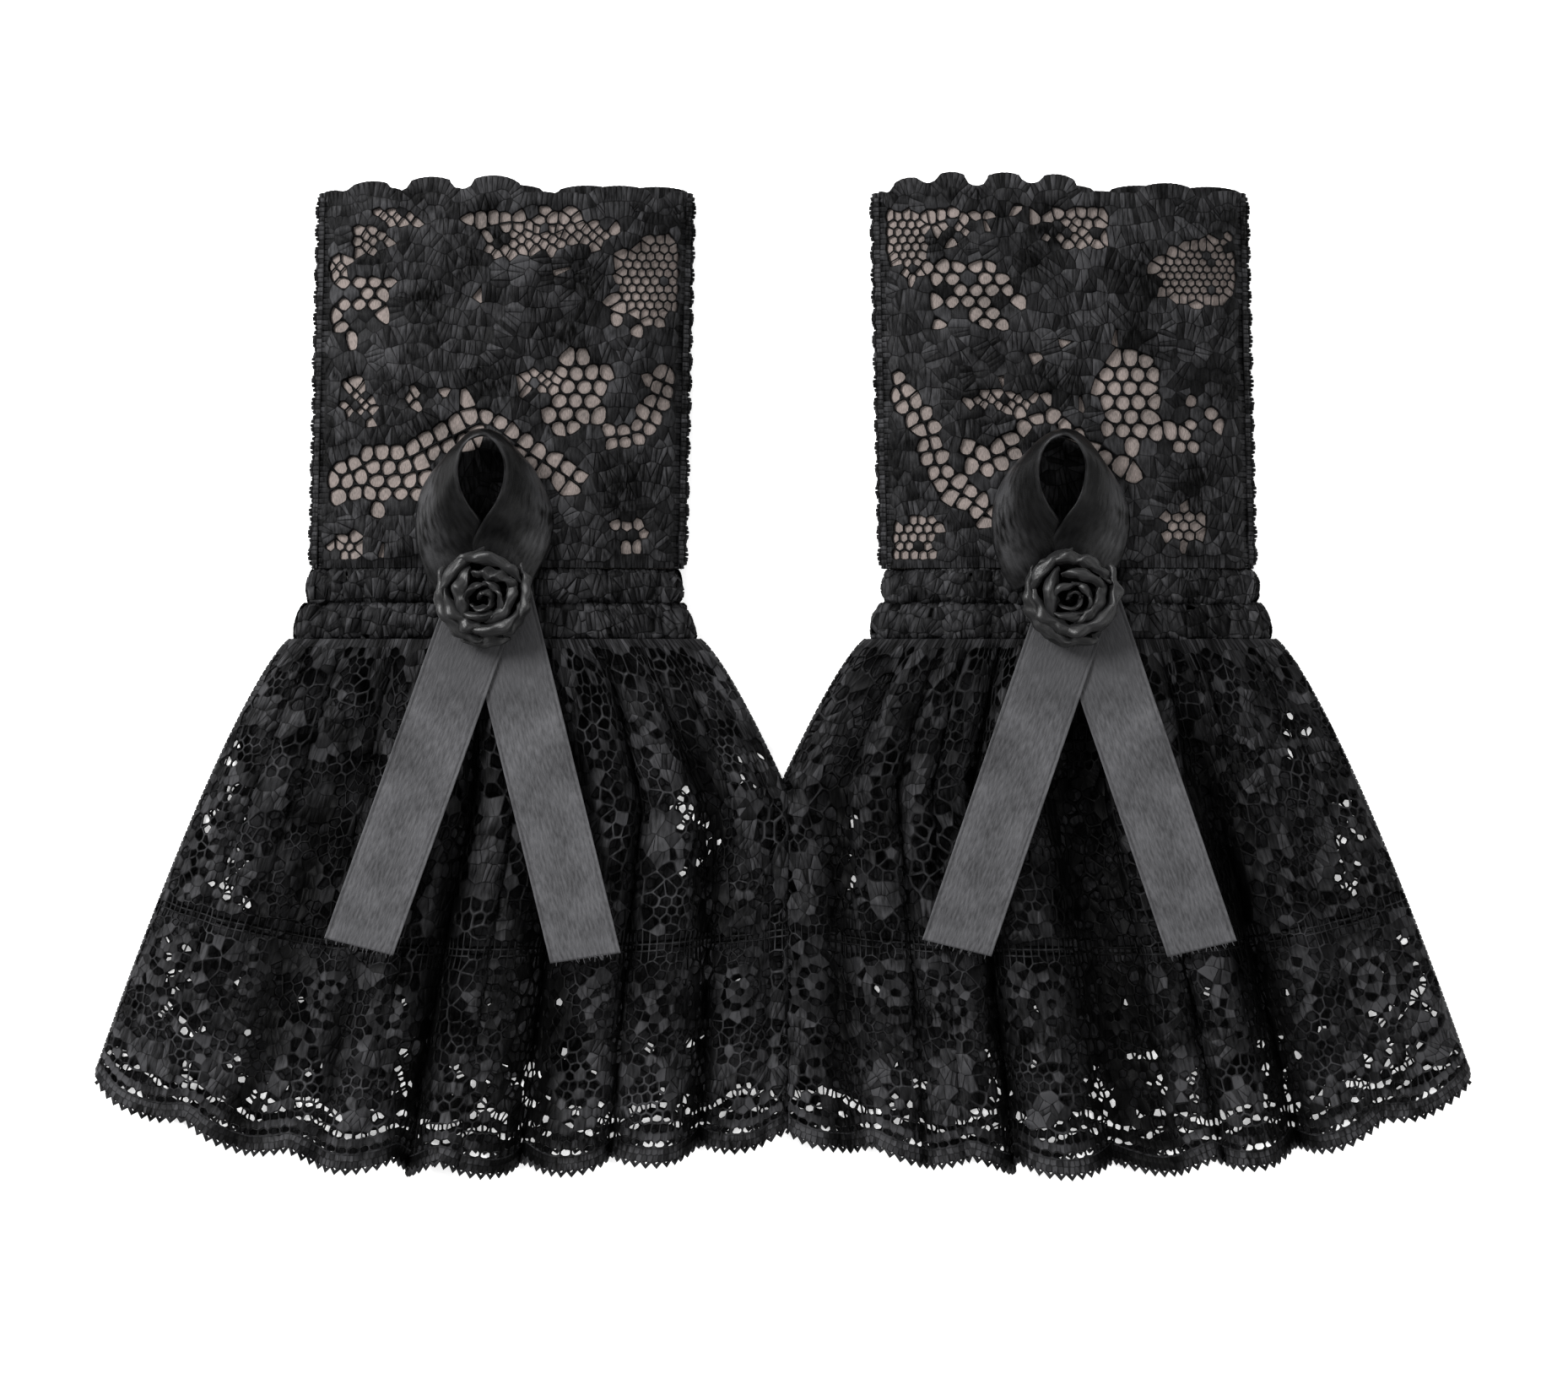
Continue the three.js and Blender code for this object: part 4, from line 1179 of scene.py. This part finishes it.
    for kind, cell in zip((1, 2, 3), ruffle["cells"]):
        seeds = hexSeeds(low, high, cell, random, 0.2)
        seeds = seeds[inside(seeds)]
        seeds = seeds[region(seeds) == kind]
        seeds = seeds[apartFrom(seeds, placed, cell * 0.62)]
        if back:
            isOpen = seeThrough(seeds) & (random.random(len(seeds)) < 0.42)
            isOpen |= (seeds[:, 1] < -88) & (random.random(len(seeds)) < 0.12)
        else:
            isOpen = random.random(len(seeds)) < np.where(seeThrough(seeds), 0.6, 0.84)
        sow(plan, seeds, isOpen=isOpen, thread=random.uniform(0.55, 0.95, len(seeds)) if kind > 1 else 0.6,
            rise=0.2, lift=random.uniform(-0.03, 0.06, len(seeds)), cluster=-40 - kind)
        placed = np.concatenate([placed, seeds])
    keep = inside(stitches) & (region(stitches) == 0)
    stitches, cluster = stitches[keep], cluster[keep]
    keep = apartFrom(stitches, placed, 1.05)
    stitches, cluster = stitches[keep], cluster[keep]
    sow(plan, stitches, rise=random.uniform(0.2, 0.5, len(stitches)),
        lift=random.uniform(0, 0.22, len(hearts))[cluster], cluster=cluster)

    flat, height, faces, crown = laceSheet(finished(plan))
    if back:
        height = np.clip(height, -0.1, 0.3)
    else:  # painted shade: the front is coloured darker the deeper it lies below the crest between the folds and lighter on the crests; it is also coloured lighter towards the hem
        laid = surface(*flat.T)
        sunk = crestUnder(side, laid[:, 0], laid[:, 1]) - laid[:, 2]
        crown = crown * (1.25 - 1.17 * smoothStep(sunk, 0.2, 5.2))
        crown = crown * (0.88 + 0.5 * smoothStep(-flat[:, 1], 82, 98))
    piece = meshObject(cuff + "_ruffle" + layerName(back).capitalize(), laidOn(surface, flat, height), faces,
                       ruffleThread, flat, crown)
    thicken(piece, ruffle["thread"])

    # picots along the hem, and a cord above them
    points = evenly(hem, ruffle["picotPitch"] / 2)
    teeth = np.where(np.arange(len(points)) % 2 == 0, -ruffle["picotHeight"], 0.35)
    zigzag = points + np.column_stack([np.zeros(len(points)), teeth])
    zigzag = zigzag[2:-2]
    cord = cordOn(surface, zigzag, 0.56, 0.0)
    border = cordOn(surface, evenly(besides(hem, 2.9), 1.3), 0.3, 0.15)
    trim = gathered([cord, border])
    trimPiece = meshObject(cuff + "_trim", trim[0], trim[1], ruffleThread, trim[2], 0.8)
    piece = joined([piece, trimPiece], piece.name)
    declareSheet(piece, cuff + "_cuff",
                 cuff + "_ruffle_" + layerName(back))


# ---- ribbon ----
ribbon = {
    "width": 15, "thickness": 0.34, "tail": 58.5, "endSlant": 1.4,
    "bow": 63, "bowHeight": 15.8, "fork": -5.4,
    "splay": {"left": (19.6, 13.9), "right": (19.0, 18.6)},   # degrees, over then under
    "start": -19.5,    # how far up under the rose the tails begin
    "neck": (14, 7, 8.5),    # the neck's width, and how far it goes below and above the bow
    "neckThickness": 0.3,
    "edge": 0.75, "stitch": 1.5,    # the woven edge's width, and the length of its stitches
    "frayThreads": 15,
}


def tailFrame(side, cuff, over):
    splay = math.radians(ribbon["splay"][cuff][0 if over else 1])
    sideways = -1 if over else 1
    heading = np.array([sideways * math.sin(splay), -math.cos(splay)])
    across = np.array([heading[1], -heading[0]]) if over else np.array([-heading[1], heading[0]])
    return np.array([side * ribbon["bow"], ribbon["fork"]]), heading, across


def crestUnder(side, x, y):
    drop = np.clip((ruffle["top"] - y) / ruffle["cut"], 0, 1)
    outer, inner = ruffleEdges(drop)
    across = np.clip((side * x - ruffle["middle"] - outer) / (inner - outer), 0, 1)
    middle = np.sqrt(np.clip(1 - (2 * across - 1) ** 2, 0, 1))
    sideZ = ruffle["sideHeight"] + (ruffle["hemSideHeight"] - ruffle["sideHeight"]) * drop
    return sideZ + (ruffle["waistHeight"] + ruffle["crestRise"] * drop ** 1.5 - sideZ) * middle


def ribbonTail(side, cuff, over):
    fork, heading, across = tailFrame(side, cuff, over)
    wide = ribbon["width"]
    rest = 14.62 if over else 14.0

    def surface(a, b):
        # a is across the ribbon from the fork's side, b is along it
        slant = ribbon["endSlant"] * np.clip(b / ribbon["tail"], 0, 1) ** 6 * (a / wide - 0.5)
        x = fork[0] + heading[0] * (b + slant) + across[0] * a
        y = fork[1] + heading[1] * (b + slant) + across[1] * a
        under = np.zeros(len(a))
        for share in (0, 0.5, 1):
            spotX = fork[0] + heading[0] * b + across[0] * wide * share
            spotY = fork[1] + heading[1] * b + across[1] * wide * share
            under = np.maximum(under, crestUnder(side, spotX, spotY))
        low = np.maximum(rest, 13.95 + (under - 13) * smoothStep(b, 2, 16))
        curl = 0.22 * ((a / wide - 0.5) * 2) ** 2 * smoothStep(b, 0, 10)
        lie = 0.28 * np.sin(b * 0.16 + side + over) * smoothStep(b, 6, 20)
        return np.column_stack([x, y, low + 0.35 + curl + lie * 0.6])

    edge = ribbon["edge"]
    rows = np.array([0, 0.2, 0.45, edge - 0.12, edge, edge + 0.12, 1.15, 1.7, *np.linspace(2.4, 12.6, 12),
                     13.3, 13.85, wide - edge - 0.12, wide - edge, wide - edge + 0.12, 14.55, 14.8, wide])
    alongs = np.arange(ribbon["start"], ribbon["tail"] + 0.01, 0.5)
    a, b = np.meshgrid(rows, alongs)
    flat = np.column_stack([a.ravel(), b.ravel()])
    faces = gridFaces(len(rows), len(alongs))
    points = surface(*flat.T)
    fromEdge = np.minimum(flat[:, 0], wide - flat[:, 0])
    line = np.exp(-((fromEdge - edge) / 0.16) ** 2)
    stitch = 0.5 + 0.5 * np.sin(flat[:, 1] * 2 * math.pi / ribbon["stitch"])
    points[:, 2] += -0.16 * line * (0.4 + 0.6 * stitch) + 0.08 * np.exp(-((fromEdge - 0.2) / 0.25) ** 2)
    crinkle = noiseField(7 + side + 2 * over, 6, 0.05)
    points[:, 2] += crinkle(flat[:, 0], flat[:, 1] * 0.6)
    name = cuff + ("_tailOver" if over else "_tailUnder")
    # painted shadow: the tail is coloured darker where it runs in under the rose; the dark dashed line near
    # each edge is the woven edge's stitching
    shade = (1.08 - 0.85 * line * (0.45 + 0.55 * stitch)) * (0.4 + 0.6 * smoothStep(flat[:, 1], -9, 9))
    piece = meshObject(name, points, faces, tailWeave, flat, shade)
    if piece.data.polygons[0].normal.z < 0:
        piece.data.flip_normals()
    thicken(piece, ribbon["thickness"])

    # a few threads have come loose at the cut end
    random = np.random.default_rng(15 + side + 3 * over)
    threads = []
    for start in np.sort(random.uniform(0.4, wide - 0.4, ribbon["frayThreads"])):
        out = random.uniform(0.3, 1.2)
        bend = random.uniform(-0.4, 0.4)
        path = np.column_stack([start + bend * np.array([0, 0.2, 0.6, 1.0]), ribbon["tail"] + out * np.array(
            [-0.4, 0.2, 0.6, 1.0])])
        threads.append(cordOn(surface, path, 0.09, -0.1))
    fray = gathered(threads)
    frayPiece = meshObject(cuff + "_fray", fray[0], fray[1], tailWeave, fray[2], 0.8)
    piece = joined([piece, frayPiece], name)
    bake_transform(piece)
    declareSheet(piece, None,
                 cuff + "_ribbon" + ("_tail_over" if over else "_tail_under"))


def through(points, count):
    # a smooth curve through the points, evenly stepped between them
    points = np.asarray(points, float)
    padded = np.concatenate([[2 * points[0] - points[1]], points, [2 * points[-1] - points[-2]]])
    at = np.linspace(0, len(points) - 1, count)
    index = np.minimum(at.astype(int), len(points) - 2)
    t = (at - index)[:, None]
    p0, p1, p2, p3 = (padded[index + k] for k in range(4))
    return 0.5 * (2 * p1 + (p2 - p0) * t + (2 * p0 - 5 * p1 + 4 * p2 - p3) * t ** 2 + (
        3 * p1 - p0 - 3 * p2 + p3) * t ** 3)


loop = {   # the ribbon's mouth edge and foot edge, from the left end over the top to the right end
    "mouth": [(3.5, 8.5, 14.75), (1.8, 12.5, 16.4), (-0.8, 16.4, 19.5), (-3.8, 20.5, 22.0), (-5.4, 25, 23),
              (-5.2, 29.5, 24), (-3.4, 33.0, 24.8), (-0.4, 34.3, 25.1), (2.4, 33, 24.8), (4.2, 29.5, 24),
              (4.3, 25, 23), (2.8, 20.5, 22.2), (0.2, 16.8, 20.8), (-2.4, 12.6, 17.9), (-4.5, 8.0, 15.6)],
    "foot": [(-10.5, 1.5, 14.5), (-12.8, 5.5, 14.4), (-14.6, 11, 13.6), (-15, 17, 13.0), (-13.9, 22.7, 12.8),
             (-11.0, 27.6, 12.7), (-6, 32.4, 12.7), (-0.4, 34.7, 12.7), (5.4, 31.9, 12.7), (10.3, 26.8, 12.7),
             (13.5, 21.4, 12.8), (14.4, 16.4, 13.1), (13.6, 11, 13.9), (11.6, 6.5, 14.75), (9.5, 2.5, 15.05)],
    "length": 92,
    "shift": {"left": 0.0, "right": -3.6},   # the right loop has fallen a little to one side
    "mouthMiddle": 26, "mouthHalf": (6, 9.5),    # the open middle's height above the bow, and its half sizes
}


def ribbonLoop(side, cuff):
    count, rows = 150, 26
    bow = np.array([side * ribbon["bow"] + loop["shift"][cuff], ribbon["bowHeight"], 0])
    mouth, foot = through(loop["mouth"], count) + bow, through(loop["foot"], count) + bow
    share = np.linspace(0, 1, rows)
    along = np.linspace(0, 1, count)
    middle = (mouth + foot) / 2
    forward = np.gradient(middle, axis=0)
    outward = np.cross(foot - mouth, forward)
    outward /= np.linalg.norm(outward, axis=1, keepdims=True)
    outward *= np.sign((outward * (middle - bow - np.array([0, 24, 18]))).sum(1).mean())
    puff = 1.1 + 0.5 * np.sin(along * 2 * math.pi * 2 + 0.6)
    creases = noiseField(44 + side, 9, 0.22)
    points, flat = [], []
    for v in share:
        rise = math.sin(v * math.pi) ** 0.8
        a, b = np.full(count, v * ribbon["width"]), along * loop["length"]
        off = puff * rise + creases(a * 0.8, b) * rise
        points.append(mouth + (foot - mouth) * v + outward * off[:, None])
        flat.append(np.column_stack([a, b]))
    points, flat = np.concatenate(points), np.concatenate(flat)
    faces = gridFaces(count, rows)
    name = cuff + "_loopBand"
    # painted sheen: the satin is coloured palest along the foot of each side, where it turns to the light,
    # and on the mouth's rim
    halfLength = loop["length"] / 2
    fromSide = (np.abs(flat[:, 1] - halfLength) - 0.5 * halfLength) / 15
    fromFoot = (flat[:, 0] / ribbon["width"] - 0.8) / 0.24
    fromTop = (flat[:, 1] - halfLength) / 20
    fromRim = flat[:, 0] / ribbon["width"] / 0.07
    sheen = 0.16 + 1.7 * np.exp(-fromSide ** 2 - fromFoot ** 2) + 1.1 * np.exp(-fromTop ** 2 - fromRim ** 2)
    piece = meshObject(name, points, faces, loopSatin, flat, sheen)
    crest = piece.data.polygons[(rows // 2) * (count - 1) + count // 2]
    if Vector(outward[count // 2]).dot(crest.normal) < 0:
        piece.data.flip_normals()
    thicken(piece, ribbon["thickness"])
    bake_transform(piece)
    declareSheet(piece, None,
                 cuff + "_ribbon_loop")


def ribbonKnot(side, cuff):
    # the sewn neck under the rose
    bow = np.array([side * ribbon["bow"], ribbon["bowHeight"]])

    def surface(a, b):
        pinch = 1 - 0.35 * np.exp(-(b / 5) ** 2)
        z = 13.85 + 0.12 * np.sin(a * 1.9) * np.exp(-(b / 6) ** 2)
        return np.column_stack([bow[0] + a * pinch, bow[1] + b, z])

    wide, below, above = ribbon["neck"]
    points, faces, flat = gridSheet(surface, (-wide / 2, -below), (wide / 2, above), (40, 30))
    piece = meshObject(cuff + "_bowNeck", points, faces, tailWeave, flat, 0.5)
    thicken(piece, ribbon["neckThickness"], offset=1)
    declareSheet(piece, cuff + "_cuff",
                 cuff + "_ribbon_knot")


# ---- roses ----
rose = {
    "base": 15.35, "thickness": 0.3, "shift": {"left": 0.0, "right": -1.8},
    # folds of ribbon: (radius, height, middle angle in degrees, spread, how far it tucks in, its rim's width)
    "outer": [
        (10.4, 4.4, 272, 62, 0.0, 2.8), (10.2, 6.8, 205, 128, 0.06, 2.9),
        (10.0, 7.2, 350, 106, -0.07, 2.4), (10.0, 7.4, 132, 84, 0.06, 2.6),
        (9.6, 7.9, 80, 118, -0.06, 2.6), (8.3, 7.4, 225, 134, 0.1, 2.9), (8.7, 8.0, 305, 124, -0.12, 2.8),
    ],
    "inner": [
        (6.6, 8.5, 170, 112, 0.12, 3.4), (6.4, 8.1, 335, 126, -0.16, 2.6), (6.6, 8.8, 65, 104, 0.12, 2.4),
        (5.0, 8.2, 262, 110, 0.16, 2.0),
    ],
    "bud": [
        (3.9, 8.6, 20, 150, 0.2, 1.2), (3.6, 9.3, 128, 130, -0.2, 1.1), (2.6, 8.4, 290, 170, 0.25, 0.9),
        (1.5, 8.9, 90, 220, 0.3, 0.7),
    ],
}


def petal(middle, shape, seed):
    radius, height, facing, spread, tuck, rim = shape
    steps = max(int(spread / 4), 18)
    share = np.linspace(0, 1, steps)
    angle = np.radians(facing + spread * (share - 0.5))
    envelope = np.sin(np.clip(share, 0.03, 0.97) * math.pi) ** 0.5
    # the wall goes up, rolls over at the rim and comes down a little inside
    inwards = np.array([-3.6, -2.4, -1.3, -0.5, -0.1, 0.0, 0.0, -0.12, -0.34, -0.6, -0.82, -0.96, -1.02,
                        -1.05])
    up = np.array([0.02, 0.08, 0.22, 0.42, 0.6, 0.74, 0.85, 0.94, 0.99, 1.0, 0.97, 0.9, 0.76, 0.56])
    crumple, lines = noiseField(seed, 4.2, 0.28), noiseField(seed + 1, 1.3, 0.07)
    points, flat = [], []
    for k in range(len(up)):
        around = angle * radius
        down = np.full(steps, k * 1.1)
        step = inwards[k] * (rim * envelope if k > 5 else np.minimum(radius * 0.2, 1.4))
        fold = crumple(down * 0.7, around) * (0.35 + up[k]) + lines(down * 3, around * 0.5)
        r = np.maximum(radius * (1 - tuck * (share - 0.5) * 2) + step + fold, 0.15)
        z = height * up[k] * (0.7 + 0.3 * envelope) + fold * 0.8 * up[k]
        points.append(np.column_stack([middle[0] + r * np.cos(angle), middle[1] + r * np.sin(angle),
                                       rose["base"] + z]))
        flat.append(np.column_stack([down, around]))
    points, flat = np.concatenate(points), np.concatenate(flat)
    return points, gridFaces(steps, len(up)), flat


def roseRing(side, cuff, ring, node):
    middle = (side * ribbon["bow"] + rose["shift"][cuff], ribbon["bowHeight"])
    petals = [petal(middle, shape, 300 + 10 * side + k + len(ring)) for k, shape in enumerate(rose[ring])]
    points, faces, flat = gathered(petals)
    piece = meshObject(cuff + "_rose" + ring.capitalize(), points, faces, satinFace, flat)
    thicken(piece, rose["thickness"])
    declareSheet(piece,
                 cuff + "_cuff", node)


# ---- make the pair ----
for cuff, side in (("left", -1), ("right", 1)):
    print("making the", cuff, "cuff")
    for back in (False, True):
        tubeLining(side, cuff, back)
        tubeLace(side, cuff, back)
    for edge in (-1, 1):
        tubeSeam(side, cuff, edge)
    for which in ("upper", "lower"):
        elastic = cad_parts[cuff + "_" + which + "_elastic"]
        elastic.data.materials.clear()
        elastic.data.materials.append(elasticWeave)
        for back in (False, True):
            waistCasing(side, cuff, which, back)
    for back in (True, False):
        ruffleLace(side, cuff, back)
    ribbonKnot(side, cuff)
    for over in (False, True):
        ribbonTail(side, cuff, over)
    ribbonLoop(side, cuff)
    for ring, node in (("outer", "outer_petals"), ("inner", "inner_petals"), ("bud", "bud")):
        roseRing(side, cuff, ring, cuff + "_rose_" + node)
print("pair made")
